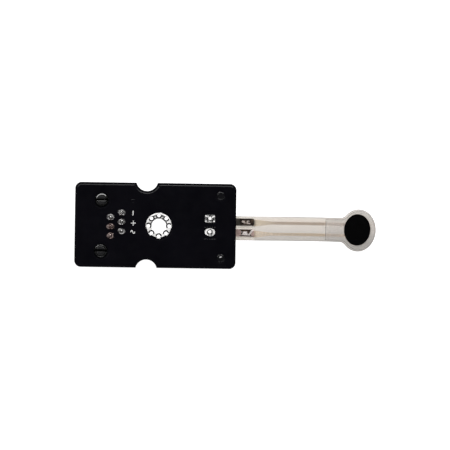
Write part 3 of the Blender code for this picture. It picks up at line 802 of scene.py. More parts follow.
def make_markings():
    """A minus, a plus and a wave beside the three pairs of jack pins."""
    ink = print_ink_look()
    low, high = BOARD_TOP, BOARD_TOP + POUR_HEIGHT + 0.015 * MM
    minus = [(MARK_X, 2.40 * MM), (MARK_X, 2.84 * MM), (MARK_X, 3.28 * MM)]
    add_piece("mark_minus", strip_mesh(minus, 0.23 * MM, low, high), ink)
    plus_x, plus_y = MARK_X + 0.08 * MM, 0.46 * MM
    arm, half = 0.57 * MM, 0.095 * MM
    loop = []
    for turn in range(4):
        c, s = math.cos(QUARTER * turn), math.sin(QUARTER * turn)
        for u, v in ((arm, -half), (arm, half), (half, half)):
            loop.append((plus_x + u * c - v * s, plus_y + u * s + v * c))
    shape = bmesh.new()
    add_prism(shape, [loop], low, high)
    add_piece("mark_plus", finish_shape(shape), ink)
    wave_y, wave_half, wave_height, steps = -1.64 * MM, 0.48 * MM, 0.34 * MM, 36
    wave = []
    for step in range(steps + 1):
        share = step / steps
        rise = wave_height * math.sin(math.tau * share)
        wave.append((MARK_X + wave_half * (2 * share - 1), wave_y + rise))
    add_piece("mark_wave", strip_mesh(wave, 0.22 * MM, low, high), ink)


def make_tented_via(mask):
    profile = ((0.46, 0.0), (0.42, 0.05), (0.32, 0.075), (0.22, 0.06), (0.10, 0.045))
    base = BOARD_TOP + POUR_HEIGHT - 0.01 * MM
    loops = turned_loops((BOARD_X - 5.34 * MM, 5.65 * MM), profile, base, 32)
    add_piece("tented_via", loft_mesh(loops), mask)


def make_hole_ring(tin, shade_tin):
    """The tinned ring, swollen by its solder, with the walls of its bore and its vias in dark tin
    as painted shade.
    """
    outer = plan_radii(RING)[0]
    swell, rim_slope, lip_slope, via_slope = 0.06 * MM, 0.10 * MM, 0.13 * MM, 0.03 * MM
    vias = [circle_points(place, VIA_RADIUS, 28) for place in ring_vias()]
    wide_vias = [offset_loop(loop, -via_slope) for loop in vias]
    rim = circle_points(RING_CENTRE, outer, 96)
    rim_in = circle_points(RING_CENTRE, outer - rim_slope, 96)
    lip = circle_points(RING_CENTRE, BORE_RADIUS, 72)
    lip_out = circle_points(RING_CENTRE, BORE_RADIUS + lip_slope, 72)
    shape = bmesh.new()
    for level, side in ((BOARD_TOP, 1.0), (BOARD_UNDER, -1.0)):
        face = level + side * swell
        rim_level = level + side * 0.005 * MM
        add_face(shape, [rim_in, *wide_vias, lip_out], face)
        add_band(shape, rim, rim_level, rim_in, face)
        add_band(shape, rim, level - side * 0.02 * MM, rim, rim_level)
        add_band(shape, lip, level, lip_out, face)
        for via, wide in zip(vias, wide_vias):
            add_band(shape, via, level, wide, face)
    # The walls of the bore and the vias take the dark tin as painted shade.
    for loop in [lip, *vias]:
        add_band(shape, loop, BOARD_UNDER, loop, BOARD_TOP, 1)
    mesh = finish_shape(shape, smooth_angle=25)
    add_piece("hole_ring", mesh, [tin, shade_tin], "board", [RING])


def make_ring_shades(shade_tin, dull_tin_and_shade, mask):
    """Painted shade in the ring: dark lines round its vias, darker patches in its solder, shades
    along its bore, and arcs in the mask's black along the front of its rim.

    Every arc is given in degrees, anticlockwise from +X.
    """
    low, high = BOARD_TOP + 0.02 * MM, BOARD_TOP + 0.068 * MM
    ridge_low, ridge_high = BOARD_TOP + 0.03 * MM, BOARD_TOP + 0.075 * MM
    ridge_radius, ridge_width = 0.56 * MM, 0.33 * MM
    # Dark arcs round the vias, as painted shade where the solder curves down into them.
    ridges = ((135, 85), (235, 105), (270, 80), (305, 105), (45, 85), (80, 85), (90, 80), (100, 85))
    for number, (place, (middle, reach)) in enumerate(zip(ring_vias(), ridges), start=1):
        first, last = math.radians(middle - reach), math.radians(middle + reach)
        arc = arc_points(place, ridge_radius, first, last, 22)
        mesh = strip_mesh(arc, ridge_width, ridge_low, ridge_high)
        add_piece(f"solder_ridge_shade_{number}", mesh, shade_tin)
    # Painted shade: darker patches in the solder, lines along the bore, and arcs in the mask's
    # black along the front of the rim.
    shades = (
        ("solder_hollow_shade_1", dull_tin_and_shade, 2.46, 0.44, 61, 74),
        ("solder_hollow_shade_2", dull_tin_and_shade, 2.46, 0.34, 107, 117),
        ("bore_shade_1", shade_tin, 1.93, 0.22, 6, 26),
        ("bore_shade_2", shade_tin, 1.93, 0.26, 46, 68),
        ("bore_shade_3", shade_tin, 1.93, 0.24, 104, 126),
        ("bore_shade_4", shade_tin, 1.93, 0.22, 154, 174),
        ("ring_front_shade_1", mask, 2.96, 0.14, 188, 214),
        ("ring_front_shade_2", mask, 2.89, 0.30, 234, 259),
        ("ring_front_shade_3", mask, 2.89, 0.30, 281, 306),
        ("ring_front_shade_4", mask, 2.97, 0.12, 326, 350),
    )
    for name, look, radius, width, first, last in shades:
        arc = arc_points(RING_CENTRE, radius * MM, math.radians(first), math.radians(last), 10)
        mesh = strip_mesh(arc, width * MM, low, high)
        add_piece(name, mesh, look)


# ---------------------------------------------------------------- solder


def solder_fillet(centre, radii, seed, lean, height, tip_radius):
    """Solder that rises from its pad in a hollow curve and covers the trimmed lead.

    The profile has the share of the pad's reach, the share of the height and the wavering.
    """
    profile = (
        (1.00, 0.00, 0.060),
        (0.98, 0.05, 0.060),
        (0.90, 0.09, 0.070),
        (0.76, 0.14, 0.090),
        (0.60, 0.20, 0.110),
        (0.43, 0.28, 0.100),
        (0.27, 0.40, 0.070),
        (0.12, 0.60, 0.030),
        (0.00, 0.88, 0.010),
    )
    low = BOARD_TOP + POUR_HEIGHT * 0.5
    loops = []
    for share, rise, wobble in profile:
        wide = [tip_radius + (radius - tip_radius) * share for radius in radii]
        place = (centre[0] + lean[0] * rise, centre[1] + lean[1] * rise)
        loops.append(oval_loop(place, wide, low + rise * height, 2.0, wobble, seed))
    place = (centre[0] + lean[0], centre[1] + lean[1])
    for share, rise in ((0.86, 0.96), (0.55, 0.99), (0.20, 1.00)):
        loops.append(oval_loop(place, [tip_radius * share] * 2, low + rise * height))
    return loft_mesh(loops)


def cut_tip(centre, level, radius, tilt):
    """The sheared end of a lead, which leans so that its face isn't quite level."""
    slope = math.tan(tilt)
    loops = [oval_loop(centre, (radius, radius), level - 0.30 * MM, count=32)]
    for share, drop in ((1.0, 0.04 * MM), (0.90, 0.0)):
        ring = oval_loop(centre, (radius * share, radius * share), level - drop, count=32)
        loops.append([(x, y, z - (y - centre[1]) * slope) for x, y, z in ring])
    return loft_mesh(loops, smooth_angle=30)


def make_jack_joints():
    """The six joints of the jack's pins, two of which are still stained by flux."""
    plain = joint_solder_look("joint_solder", (0.72, 0.71, 0.70), grey(0.14))
    fluxed = joint_solder_look("fluxed_solder", (0.52, 0.42, 0.39), (0.14, 0.09, 0.08))
    for number in CONTACTS:
        node = f"jack_solder_{number}"
        turn = 2.4 * number + 0.6
        lean = (0.05 * MM * math.cos(turn), 0.04 * MM * math.sin(turn))
        seed = 1.7 * number + 0.9
        place, radii = plan_centre(node), (0.90 * MM, 0.70 * MM)
        mesh = solder_fillet(place, radii, seed, lean, height=0.97 * MM, tip_radius=0.28 * MM)
        look = fluxed if number in (4, 6) else plain
        add_piece(f"solder_joint_{number}", mesh, look, "board", [node])


def make_sensor_pads(tin, dull_tin_and_shade):
    """A square pad and a round one, each with its cone of solder and its sheared lead."""
    cone_look = joint_solder_look("pad_cone_solder", (0.46, 0.46, 0.45), grey(0.14))
    lead_look = cut_lead_look()
    back = 0.05 * MM
    kinds = (
        ("square", "upper", dull_tin_and_shade, 8.0, 4.0, (0.80, 0.88)),
        ("round", "lower", tin, 2.3, 5.3, (0.64, 0.80)),
    )
    for kind, side, pad_look, squareness, seed, cone in kinds:
        node = f"sensor_solder_{kind}"
        centre, radii = plan_centre(node), plan_radii(node)
        pad = []
        for inset, rise in ((0.0, 0.0), (0.0, 0.03), (0.03, 0.05)):
            wide = [radius - inset * MM for radius in radii]
            pad.append(oval_loop(centre, wide, BOARD_TOP + rise * MM, squareness, count=64))
        mesh = loft_mesh(pad, smooth_angle=30)
        add_piece(f"pad_copper_{kind}", mesh, pad_look)
        if kind == "square":
            make_corner_beads(centre, radii, tin)
        inner = [radius * share for radius, share in zip(radii, cone)]
        lean = (0.0, back)
        mesh = solder_fillet(centre, inner, seed, lean, height=0.62 * MM, tip_radius=0.36 * MM)
        add_piece(f"pad_solder_{kind}", mesh, cone_look, "board", [node])
        lead_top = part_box(f"sensor_terminal_{side}")[1].z
        tip_place = (centre[0], centre[1] + back)
        tip = cut_tip(tip_place, lead_top + 0.04 * MM, radius=0.40 * MM, tilt=math.radians(6))
        add_piece(f"pad_lead_tip_{kind}", tip, lead_look)


def make_corner_beads(centre, radii, tin):
    """Beads of solder in the corners of the square pad and along its front edge."""
    corners = ((-0.74, 0.66), (0.76, 0.58), (-0.80, -0.66), (0.80, -0.66))
    front = ((-0.26, -0.68), (0.24, -0.70))
    profile = ((1.0, 0.03), (0.94, 0.06), (0.75, 0.085), (0.45, 0.10), (0.12, 0.105))
    for number, (u, v) in enumerate(corners + front, start=1):
        place = (centre[0] + u * radii[0], centre[1] + v * radii[1])
        loops = []
        for share, height in profile:
            wide = (0.21 * MM * share, 0.19 * MM * share)
            loops.append(oval_loop(place, wide, BOARD_TOP + height * MM, 2.4, 0.05, number, 24))
        add_piece(f"corner_bead_{number}", loft_mesh(loops), tin)


def make_pad_dashes():
    """Two faint rows of printed dashes beside the round pad."""
    ink = faded_ink_look()
    x, y = plan_centre("sensor_solder_round")
    pitch, length = 0.56 * MM, 0.28 * MM
    for row, rise in (("near", 1.14 * MM), ("far", -1.62 * MM)):
        for number in range(5):
            start = x + pitch * (number - 2) - length / 2
            path = [(start, y + rise), (start + length, y + rise)]
            mesh = strip_mesh(path, 0.10 * MM, BOARD_TOP, BOARD_TOP + 0.02 * MM)
            add_piece(f"pad_dash_{row}_{number + 1}", mesh, ink)


def make_plugs():
    """Resin in the two end holes: the upper one has sunk, and the lower one has a small peak."""
    resin = resin_look()
    peak = ((0.42, 0.055), (0.36, 0.080), (0.28, 0.114), (0.14, 0.172), (0.04, 0.202))
    ends = {"upper": (-0.06 * MM, ((0.04, 0.080),)), "lower": (0.0, peak)}
    for side, (rise, top) in ends.items():
        node = PLUGS[side]
        base = BOARD_TOP + rise
        rim = ((0.82, -0.02), (0.84, 0.02), (0.79, 0.04), (0.56, 0.05))
        centre = plan_centre(node)
        foot = oval_loop(centre, (0.80 * MM, 0.80 * MM), BOARD_UNDER + 0.02 * MM, count=40)
        loops = [foot, *turned_loops(centre, rim + top, base, 40)]
        add_piece(f"resin_plug_{side}", loft_mesh(loops), resin, "board", [node])


# ---------------------------------------------------------------- jack


def split_peg_half(place, side, sink, lean, profile):
    """One springy half of a snap peg, with a broad chamfer round its flat end."""
    loops = []
    for radius, height, ease in profile:
        radius *= MM
        start = math.asin((PEG_SLOT + ease * MM) / radius)
        arc = arc_points((0.0, 0.0), radius, start, math.pi - start, 32)
        level = BOARD_TOP + height * MM - sink
        loop = []
        for x, y in arc if side > 0 else reversed(arc):
            rise = level - y * side * math.tan(lean)
            loop.append((place[0] + x, place[1] + y * side, rise))
        loops.append(loop)
    return loft_mesh(loops, smooth_angle=20)


def make_pegs():
    """The two snap pegs: the lower one leans and sits deeper, and all front halves sit deeper."""
    kinds = (
        ("peg", PEG_PROFILE, peg_plastic_look()),
        ("peg_end", PEG_END_PROFILE, peg_end_look()),
    )
    settings = (("upper", 0.0, 0.0), ("lower", 0.10 * MM, math.radians(-6)))
    for place, (name, sink, lean) in zip(PEG_PLACES, settings):
        for half, side, extra in (("back", 1.0, 0.0), ("front", -1.0, 0.14 * MM)):
            for kind, profile, look in kinds:
                mesh = split_peg_half(place, side, sink + extra, lean * side, profile)
                add_piece(f"{kind}_{name}_{half}", mesh, look)


def stand_plate(loop, near, far, facing):
    """A plate that stands on a side of the jack: facing is x or y, the way that it looks."""
    mesh = plate_mesh([loop], min(near, far), max(near, far), ease=0.04 * MM)
    for vert in mesh.vertices:
        u, v, t = vert.co
        vert.co = (t, u, v) if facing == "x" else (u, t, v)
    if facing == "y":
        mesh.flip_normals()
    return mesh


def make_jack_details(plastic):
    """Moulded ribs, a parting line, a frame behind and marks of the mould underneath.

    Each edge of a detail is in millimetres, from the low end of the housing or from its middle.
    """
    low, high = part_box("jack_housing")
    sink = 0.05 * MM
    length, half = (high.x - low.x) / MM, (high.y - low.y) / MM / 2
    bottom, top, split = 0.9, (BOARD_UNDER - low.z) / MM - 0.9, 6.6
    side_bars = (
        ("jack_rib_{}_front", (0.5, bottom, 1.3, top), 0.16),
        ("jack_rib_{}_middle", (7.7, bottom, 8.3, top), 0.16),
        ("jack_rib_{}_back", (14.7, bottom, 15.5, top), 0.16),
        ("jack_rail_{}_low", (1.3, bottom, 14.7, bottom + 0.6), 0.12),
        ("jack_rail_{}_high", (1.3, top - 0.6, 14.7, top), 0.12),
        ("jack_parting_line_{}", (0.3, split, length - 0.3, split + 0.12), 0.05),
    )
    gate = round_loop((low.x + 11.5 * MM, low.z + 3.6 * MM), 0.8 * MM)
    details = []
    for name, edges, rise in side_bars:
        details.append((name, placed_rectangle((low.x, low.z), edges), rise))
    details.append(("jack_gate_mark_{}", gate, 0.07))
    for side, wall, out in (("left", high.y, 1.0), ("right", low.y, -1.0)):
        for name, loop, rise in details:
            mesh = stand_plate(loop, wall - out * sink, wall + out * rise * MM, "y")
            add_piece(name.format(side), mesh, plastic)
    back_bars = {
        "left": (half - 1.5, bottom, half - 0.7, top),
        "right": (0.7 - half, bottom, 1.5 - half, top),
        "low": (1.5 - half, bottom, half - 1.5, bottom + 0.8),
        "middle": (1.5 - half, split, half - 1.5, split + 0.6),
    }
    for place, edges in back_bars.items():
        loop = placed_rectangle((0.0, low.z), edges)
        mesh = stand_plate(loop, high.x - sink, high.x + 0.14 * MM, "x")
        add_piece(f"jack_back_bar_{place}", mesh, plastic)
    spots = [(low.x + u * MM, v * MM) for u in (3.0, 13.0) for v in (5.4, -5.4)]
    for number, spot in enumerate(spots, start=1):
        loops = [round_loop(spot, radius * MM) for radius in (0.9, 0.75)]
        mesh = plate_mesh(loops, low.z - 0.015 * MM, low.z + sink, ease=0.006 * MM)
        add_piece(f"ejector_mark_{number}", mesh, plastic)


def make_contact(number, radius, gold):
    """A soldered pin that turns towards the socket inside the jack."""
    node = f"jack_contact_{number}"
    low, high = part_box(node)
    y = (low.y + high.y) / 2
    inset, turn = 0.225 * MM, 0.35 * MM
    pin_x, run_z = high.x - inset, low.z + inset
    bend = arc_points((pin_x - turn, run_z + turn), turn, 0.0, -QUARTER, 6)
    covered = high.z - 0.12 * MM
    points = [(pin_x, y, covered)] + [(u, y, v) for u, v in bend] + [(low.x, y, run_z)]
    mesh = tube_mesh(points, radius)
    add_piece(f"soldered_contact_{number}", mesh, gold, "board", [node])


def make_finger(number, radius, gold):
    """The free end of a contact, which turns back and slopes down through the socket."""
    node = f"contact_finger_{number}"
    low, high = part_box(node)
    y = (low.y + high.y) / 2
    turn = 0.5 * MM
    centre = (low.x + radius + turn, high.z - radius - turn)
    path = arc_points(centre, turn, math.radians(85), math.radians(252), 14)
    start = Vector(path[-1])
    tip = Vector((high.x - 0.05 * MM, low.z + radius * 1.05))
    path += [start.lerp(tip, share) for share in (0.5, 0.92, 1.0)]
    mesh = tube_mesh([(u, y, v) for u, v in path], radius)
    add_piece(f"sprung_contact_{number}", mesh, gold, f"finger_{number}", [node])


def make_jack():
    """The jack under the board, with its pegs and the contacts that it carries."""
    plastic, carrier, gold = jack_plastic_look(), carrier_plastic_look(), gold_look()
    softened("jack_housing", "jack_shell", plastic, width=0.10 * MM)
    make_jack_details(plastic)
    make_pegs()
    node = "jack_contact_carrier"
    softened(node, "contact_carrier", carrier, width=0.05 * MM)
    for number in CONTACTS:
        radius = plan_radii(f"jack_contact_{number}")[1]
        make_contact(number, radius, gold)
        make_finger(number, radius, gold)


# ---------------------------------------------------------------- film sensor


def film_point(s, w, t):
    """The place in space of a point of the film, which bends and twists towards its head."""
    share = min(max((s - BEND_START) / (NECK_START - BEND_START), 0.0), 1.0)
    tilt, twist = HEAD_TILT * share, HEAD_TWIST * share
    straight = min(s, BEND_START) - BEND_START
    beyond = max(s - NECK_START, 0.0)
    along = straight + BEND_RADIUS * math.sin(tilt) + beyond * math.cos(tilt)
    down = BEND_RADIUS * (1.0 - math.cos(tilt)) + beyond * math.sin(tilt)
    normal = Vector((math.sin(tilt), 0.0, math.cos(tilt)))
    side = Vector((0.0, 1.0, 0.0))
    across = math.cos(twist) * side + math.sin(twist) * normal
    through = math.cos(twist) * normal - math.sin(twist) * side
    point = Vector((along, 0.0, -down)) + w * across + t * through
    turn = Matrix.Rotation(TAIL_YAW if s > BEND_START else 0.0, 3, "Z")
    return turn @ point + Vector((BEND_START, FILM_Y, FILM_Z))


def film_outline(start, shrink=0.0):
    """The straight tail, its fillets and the round head, all drawn in by shrink."""
    half = FILM_HALF_WIDTH - shrink
    head = HEAD_RADIUS - shrink
    fillet = NECK_FILLET + shrink
    reach_w = half + fillet
    reach_s = math.sqrt((head + fillet) ** 2 - reach_w**2)
    fillet_s = HEAD_CENTRE - reach_s
    turn = math.atan2(reach_w, -reach_s)
    points = [(start, -half)]
    points += arc_points((fillet_s, -reach_w), fillet, QUARTER, math.pi - turn, 14)
    points += arc_points((HEAD_CENTRE, 0.0), head, -turn, turn, 110)[1:-1]
    points += arc_points((fillet_s, reach_w), fillet, turn - math.pi, -QUARTER, 14)
    points.append((start, half))
    return points


def along_film(s):
    """How far along the film s is: 0 at its crimped end, 1 beyond the start of the head cover."""
    return min(max((s - FILM_START) / FADE_LENGTH, 0.0), 1.0)


def film_mesh(loops, layer):
    """A layer of the film: cut flat, divided along its length, then bent."""
    shape = bmesh.new()
    add_prism(shape, loops, *layer)
    bmesh.ops.remove_doubles(shape, verts=shape.verts, dist=1e-8)
    step = 0.8 * MM
    start = min(vert.co.x for vert in shape.verts)
    end = min(max(vert.co.x for vert in shape.verts), NECK_START + step)
    place = BEND_START
    while place < end:
        if place > start:
            geometry = shape.verts[:] + shape.edges[:] + shape.faces[:]
            bmesh.ops.bisect_plane(shape, geom=geometry, plane_co=(place, 0, 0), plane_no=(1, 0, 0))
        place += step
    across = shape.verts.layers.float.new("film_w")
    along = shape.verts.layers.float.new("film_s")
    for vert in shape.verts:
        vert[across] = min(max(0.5 + 0.5 * vert.co.y / HEAD_RADIUS, 0.0), 1.0)
        vert[along] = along_film(vert.co.x)
        vert.co = film_point(*vert.co)
    return finish_shape(shape, smooth_angle=30)


def add_film(name, loops, layer, look, stands_for=()):
    """A layer along the whole tail, bent to its shape."""
    obj = add_piece(name, film_mesh(loops, layer), look, None, stands_for)
    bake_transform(obj)


def trace_outline(side):
    """One printed conductor: a wedge at its crimp, the trace, then half of the comb."""
    outer, inner = 3.55 * MM, 3.25 * MM
    offset, half, wedge = 1.3 * MM, 0.34 * MM, 0.80 * MM
    near, far = offset - half, offset + half
    wedge_start = BEND_START - 0.6 * MM
    wedge_end = BEND_START + 3.6 * MM
    outer_start = math.pi - math.asin(far / outer)
    inner_start = math.pi - math.asin(near / inner)
    end = math.radians(14)
    centre = (DISC_S, 0.0)
    points = [(wedge_start, offset + wedge), (BEND_START, offset + wedge), (wedge_end, far)]
    points += arc_points(centre, outer, outer_start, end, 40)
    points.append((DISC_S + inner * math.cos(end), inner * math.sin(end)))
    pitch, half_tooth = 0.8 * MM, 0.13 * MM
    shift = 0.0 if side > 0 else pitch / 2
    for index in range(7):
        place = shift + pitch * (3 - index)
        if abs(place) > inner - 0.5 * MM:
            continue
        right, left = place + half_tooth, place - half_tooth
        tip = 0.4 * MM - math.sqrt(inner**2 - place**2)
        points.append((DISC_S + right, math.sqrt(inner**2 - right**2)))
        points += [(DISC_S + right, tip), (DISC_S + left, tip)]
        points.append((DISC_S + left, math.sqrt(inner**2 - left**2)))
    points += arc_points(centre, inner, math.radians(152), inner_start, 4)
    points += [(wedge_end, near), (BEND_START, offset - wedge), (wedge_start, offset - wedge)]
    return [(s, side * w) for s, w in points]


def make_tail(rim):
    """The base film, its two printed conductors, a rim of painted shade along its edge and the
    cover of its tail.
    """
    outline = film_outline(FILM_START)
    sheets = ["film_base", "film_crimped_end"]
    add_film("tail_base_film", [outline], BASE_SHEET, base_film_look(), sheets)
    inks = (
        ("upper", 1, (0.62, 0.52, 0.39), (0.49, 0.39, 0.31)),
        ("lower", -1, (0.66, 0.54, 0.41), (0.57, 0.45, 0.33)),
    )
    for name, side, wedge, trace in inks:
        ink = silver_ink_look(f"silver_ink_{name}", wedge, trace)
        loops, node = [trace_outline(side)], f"silver_trace_{name}"
        add_film(f"silver_print_{name}", loops, PRINTED_INK, ink, [node])
    # A thin grey line along the film's edge, as painted shade.
    rim_width = 0.13 * MM
    inner = film_outline(FILM_START + rim_width, rim_width)
    rim_layer = (BASE_SHEET[1] - 0.01 * MM, BASE_SHEET[1] + 0.006 * MM)
    add_film("film_edge_shade", [outline, inner], rim_layer, rim)
    half = FILM_HALF_WIDTH - 0.1 * MM
    cover = [rectangle(FILM_START, -half, COVER_START, half)]
    cover_look = clear_film_look("clear_tail_film", 0.10, (0.80, 0.78, 0.75))
    add_film("tail_cover_film", cover, TAIL_COVER, cover_look)


def make_head(rim):
    """The spacer and the cover round the window, and the carbon disc under its membrane."""
    window = circle_points(DISC_CENTRE, WINDOW_RADIUS, 96)
    ring = film_outline(COVER_START + 0.1 * MM, 0.40 * MM)
    mesh = film_mesh([ring, window], HEAD_SPACER)
    look = spacer_look()
    add_piece("head_spacer", mesh, look, "film_tail", ["spacer_film"])
    edge, edge_width = 0.30 * MM, 0.11 * MM
    outline = film_outline(COVER_START, edge)
    mesh = film_mesh([outline, window], HEAD_COVER)
    look = clear_film_look("clear_head_film", 0.12, (0.84, 0.84, 0.83))
    add_piece("head_cover_film", mesh, look, "film_tail", ["cover_film"])
    # A thin grey line along the cover's edge, as painted shade.
    inner = film_outline(COVER_START + edge_width, edge + edge_width)
    rim_layer = (HEAD_COVER[1] - 0.01 * MM, HEAD_COVER[1] + 0.005 * MM)
    mesh = film_mesh([outline, inner], rim_layer)
    add_piece("cover_edge_shade", mesh, rim, "film_tail")
    mesh = film_mesh([circle_points(DISC_CENTRE, DISC_RADIUS, 128)], CARBON_LAYER)
    add_piece("carbon_patch", mesh, carbon_look(), "sensing_pad", ["carbon_disc"])
    skin = circle_points(DISC_CENTRE, WINDOW_RADIUS - 0.05 * MM, 128)
    mesh = film_mesh([skin], MEMBRANE_LAYER)
    add_piece("pad_membrane", mesh, membrane_look(), "sensing_pad")


# ---------------------------------------------------------------- crimps


def front_points(node):
    """The corners at the far end of a terminal, where it is a flat folded sheet."""
    obj = frame["nodes"][node]
    points = [obj.matrix_world @ vert.co for vert in obj.data.vertices]
    front = max(point.x for point in points)
    return [point for point in points if point.x > front - 0.5 * MM]


def tine_mesh(corners, level, thickness, tilt_x, tilt_y):
    """One pressed tine of a crimp: a thin slab with eased edges, tilted about its middle."""
    middle = Vector((sum(c[0] for c in corners), sum(c[1] for c in corners))) / len(corners)
    loops = []
    for share, rise in ((1.0, -0.5), (1.0, 0.2), (0.93, 0.42), (0.80, 0.5)):
        loop = []
        for x, y in corners:
            u, v = (x - middle.x) * share, (y - middle.y) * share
            top = rise * thickness
            if rise > 0:
                top -= u * math.tan(tilt_x) + v * math.tan(tilt_y)
            loop.append((middle.x + u, middle.y + v, level + top))
        loops.append(loop)
    return loft_mesh(loops, smooth_angle=35)


def make_crimp(side, looks, window, tines):
    """One folded terminal, with rolled edges and tines that are pressed flat over the film.

    The window and the tines are in millimetres from the middle of the terminal's front edge.
    Each tine has its tilts along the film and across it, in degrees.
    """
    node, slot = f"sensor_terminal_{side}", "terminal_plating"
    plating, roll_shade_look, window_shade_look, tine_highlight = looks
    softened(node, f"crimp_{side}", plating, width=0.06 * MM, round_front=0.45 * MM)
    sheet = front_points(node)
    front, level = max(point.x for point in sheet), max(point.z for point in sheet)
    left, right = max(point.y for point in sheet), min(point.y for point in sheet)
    middle, roll_inset, roll_radius = (left + right) / 2, 0.13 * MM, 0.11 * MM
    # The rolled edges take a dark tin as painted shade.
    for edge, y in (("left", left - roll_inset), ("right", right + roll_inset)):
        points = [(front - back * MM, y, level) for back in (0.50, 0.90, 2.20, 3.45)]
        add_piece(f"crimp_roll_{side}_{edge}", tube_mesh(points, roll_radius), roll_shade_look)
    # A dark plate over the window, as painted shade.
    loop = placed_rectangle((front, middle), window)
    mesh = plate_mesh([loop], level - 0.03 * MM, level + 0.025 * MM, ease=0.015 * MM)
    add_piece(f"crimp_window_{side}", mesh, window_shade_look)
    # The tines take a lighter tin than the plating, as painted highlights.
    for number, (corners, *tilts) in enumerate(tines, start=1):
        places = [(front + u * MM, middle + v * MM) for u, v in corners]
        mesh = tine_mesh(places, level + 0.07 * MM, 0.14 * MM, *map(math.radians, tilts))
        add_piece(f"crimp_tine_{side}_{number}", mesh, tine_highlight)


def make_crimps():
    """Both terminals in one tin painted with light and shade: the upper one in painted shade, the
    lower one with a painted mauve reflection.
    """
    # Painted shade on the upper plating, and a painted mauve reflection on the lower one.
    upper_shade_tones = ((0.050, 0.046, 0.038), (0.072, 0.065, 0.054), (0.11, 0.098, 0.080))
    mauve_reflection_tones = ((0.48, 0.34, 0.31), (0.63, 0.46, 0.41), (0.76, 0.60, 0.56))
    # Painted shade for the windows and the rolled edges.
    brown = ((0.012, 0.007, 0.005), (0.030, 0.018, 0.013), (0.10, 0.065, 0.04))
    dark = ((0.014, 0.010, 0.008), (0.026, 0.018, 0.014), (0.07, 0.05, 0.04))
    roll = crimp_look("crimp_roll_shade", *dark)
    window = crimp_look("crimp_window_shade", *brown)
    upper = crimp_look("crimp_plating_shade", *upper_shade_tones)
    # Painted highlight: the tines are lighter than their plating.
    upper_tine = tine_look("upper_tine_highlight", (0.30, 0.23, 0.20), (0.74, 0.64, 0.58))
    upper_tines = (
        (((-2.85, 0.34), (-2.99, 0.02), (-2.37, -0.45), (-1.96, -0.30), (-2.35, 0.30)), 4, -9),
        (((-1.86, -0.46), (-0.96, -0.46), (-0.90, -0.22), (-1.44, -0.14)), -6, -12),
        (((-1.90, -0.40), (-1.44, -0.24), (-1.42, 0.16), (-1.76, 0.30)), 3, -8),
        (((-1.70, 0.14), (-1.16, 0.10), (-1.04, 0.32), (-1.60, 0.36)), 8, -10),
    )
    upper_looks = (upper, roll, window, upper_tine)
    make_crimp("upper", upper_looks, (-3.34, -0.66, -0.18, 0.66), upper_tines)
    lower = crimp_look("crimp_plating_mauve_reflection", *mauve_reflection_tones)
    # Painted highlight: these tines are lighter than their plating too.
    lower_tine = tine_look("lower_tine_highlight", (0.62, 0.52, 0.49), (0.97, 0.90, 0.87))
    lower_tines = (
        (((-3.04, -0.52), (-1.46, -0.54), (-1.70, 0.34), (-2.52, 0.30)), 2, -8),
        (((-1.62, -0.62), (-1.08, -0.62), (-0.16, 0.64), (-0.66, 0.68)), -5, -7),
        (((-3.02, 0.02), (-2.82, 0.02), (-2.80, 0.30), (-3.00, 0.32)), 3, -5),
    )
    lower_looks = (lower, roll, window, lower_tine)
    make_crimp("lower", lower_looks, (-3.14, -0.58, -0.78, 0.66), lower_tines)


# ---------------------------------------------------------------- small parts


def make_chip(node, look, tin, solder):
    """A small part under the board, with its end caps and their solder.

    The solder's profile has its place towards the body, its half length and its depth in
    millimetres, its half width as a share of the part's width, and its squareness.
    """
    profile = (
        (0.00, 0.55, 0.00, 0.52, 6.0),
        (0.00, 0.53, 0.05, 0.50, 6.0),
        (0.18, 0.34, 0.16, 0.46, 5.0),
        (0.30, 0.20, 0.30, 0.43, 4.0),
    )
    low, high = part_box(node)
    width, y = high.y - low.y, (low.y + high.y) / 2
    cap, inset = 0.38 * MM, 0.03 * MM
    loop = rectangle(low.x + cap * 0.5, low.y + inset, high.x - cap * 0.5, high.y - inset)
    mesh = plate_mesh([loop], low.z + inset, high.z - inset, ease=0.03 * MM)
    add_piece(f"{node}_body", mesh, look, "board", [node])
    for end, start, out in (("left", low.x, -1.0), ("right", high.x - cap, 1.0)):
        loop = rectangle(start, low.y, start + cap, high.y)
        mesh = plate_mesh([loop], low.z, high.z, ease=0.05 * MM)
        add_piece(f"{node}_cap_{end}", mesh, tin)
        foot = start + cap / 2 + out * 0.35 * MM
        loops = []
        for back, half_length, depth, share, squareness in profile:
            place = (foot - out * back * MM, y)
            level = BOARD_UNDER - depth * MM
            loops.append(oval_loop(place, (half_length * MM, width * share), level, squareness))
        add_piece(f"{node}_solder_{end}", loft_mesh(loops), solder)


def make_chips(tin):
    solder = tin_look("bright_solder", 0.20, 0.38, 0.30)
    glaze = chip_body_look("resistor_glaze", grey(0.010), grey(0.020))
    ceramic = chip_body_look("capacitor_body", (0.34, 0.22, 0.12), (0.46, 0.32, 0.19))
    make_chip("divider_resistor", glaze, tin, solder)
    make_chip("filter_capacitor", ceramic, tin, solder)


# ---------------------------------------------------------------- studio


def make_floor():
    shape = bmesh.new()
    add_face(shape, [rectangle(-1.5, -1.5, 1.5, 1.5)], 0.0)
    mesh = finish_shape(shape)
    mesh.materials.append(floor_look())
    floor = add_object("floor", mesh)
    floor.location.z = -0.02 * MM


def add_light(name, place, size, power):
    """A rectangular light that faces the origin."""
    data = bpy.data.lights.new(name, "AREA")
    data.shape = "RECTANGLE"
    data.size, data.size_y = size
    data.energy = power
    light = add_object(name, data)
    light.location = place
    light.rotation_euler = (-Vector(place)).to_track_quat("-Z", "Y").to_euler()


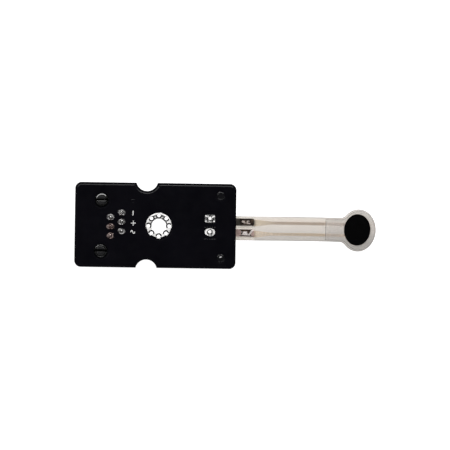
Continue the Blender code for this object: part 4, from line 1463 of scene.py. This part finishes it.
def make_world():
    """A studio that is pale near the horizon and dark overhead."""
    world = bpy.data.worlds.new("studio")
    bpy.context.scene.world = world
    world.use_nodes = True
    nodes, links = world.node_tree.nodes, world.node_tree.links
    place = nodes.new("ShaderNodeTexCoord")
    split = nodes.new("ShaderNodeSeparateXYZ")
    links.new(place.outputs["Generated"], split.inputs["Vector"])
    ramp = nodes.new("ShaderNodeValToRGB")
    horizon, overhead = ramp.color_ramp.elements
    horizon.position, overhead.position = 0.10, 0.32
    horizon.color = (0.92, 0.92, 0.92, 1.0)
    overhead.color = (0.035, 0.035, 0.037, 1.0)
    links.new(split.outputs["Z"], ramp.inputs["Fac"])
    links.new(ramp.outputs["Color"], nodes["Background"].inputs["Color"])


def make_camera():
    data = bpy.data.cameras.new("camera")
    data.sensor_width = SENSOR_WIDTH
    data.lens = SENSOR_WIDTH * VIEW_DISTANCE / VIEW_WIDTH
    data.clip_start = 0.01
    data.clip_end = 10.0
    camera = add_object("camera", data)
    tilt = Matrix.Rotation(math.radians(90.0 - VIEW_ELEVATION), 4, "X")
    roll = Matrix.Rotation(math.radians(VIEW_ROLL), 4, "Z")
    back = tilt @ Vector((0.0, 0.0, VIEW_DISTANCE))
    camera.matrix_world = Matrix.Translation(VIEW_TARGET + back) @ tilt @ roll
    bpy.context.scene.camera = camera


def make_studio():
    bpy.context.scene.view_settings.view_transform = "Standard"
    make_world()
    make_floor()
    add_light("key", (0.125, 0.589, 0.58), (0.60, 0.30), 5.2)
    add_light("key_left", (-0.395, 0.454, 0.58), (0.60, 0.30), 4.0)
    add_light("fill", (-0.05, -0.66, 0.36), (0.70, 0.22), 1.0)


def main():
    mask = solder_mask_look()
    tin = tin_look("tin_plating", 0.40, 0.55, 0.8, 0.3)
    # Dark tin as painted shade on the ring's walls, its lines and its arcs.
    shade_tin = dark_tin_look("painted_shade_tin", grey(0.010), grey(0.045))
    # Dull tin for the square pad, and painted shade for the darker patches in the ring's solder.
    dull_tin_and_shade = dark_tin_look("dull_tin_and_hollow_shade", grey(0.12), (0.26, 0.25, 0.25))
    # A grey line of painted shade along the film's cut edges.
    rim = edge_shade_look()
    make_studio()
    make_camera()
    make_board(mask)
    make_markings()
    make_tented_via(mask)
    make_hole_ring(tin, shade_tin)
    make_ring_shades(shade_tin, dull_tin_and_shade, mask)
    make_jack_joints()
    make_sensor_pads(tin, dull_tin_and_shade)
    make_pad_dashes()
    make_plugs()
    make_jack()
    make_tail(rim)
    make_head(rim)
    make_crimps()
    make_chips(tin)


main()
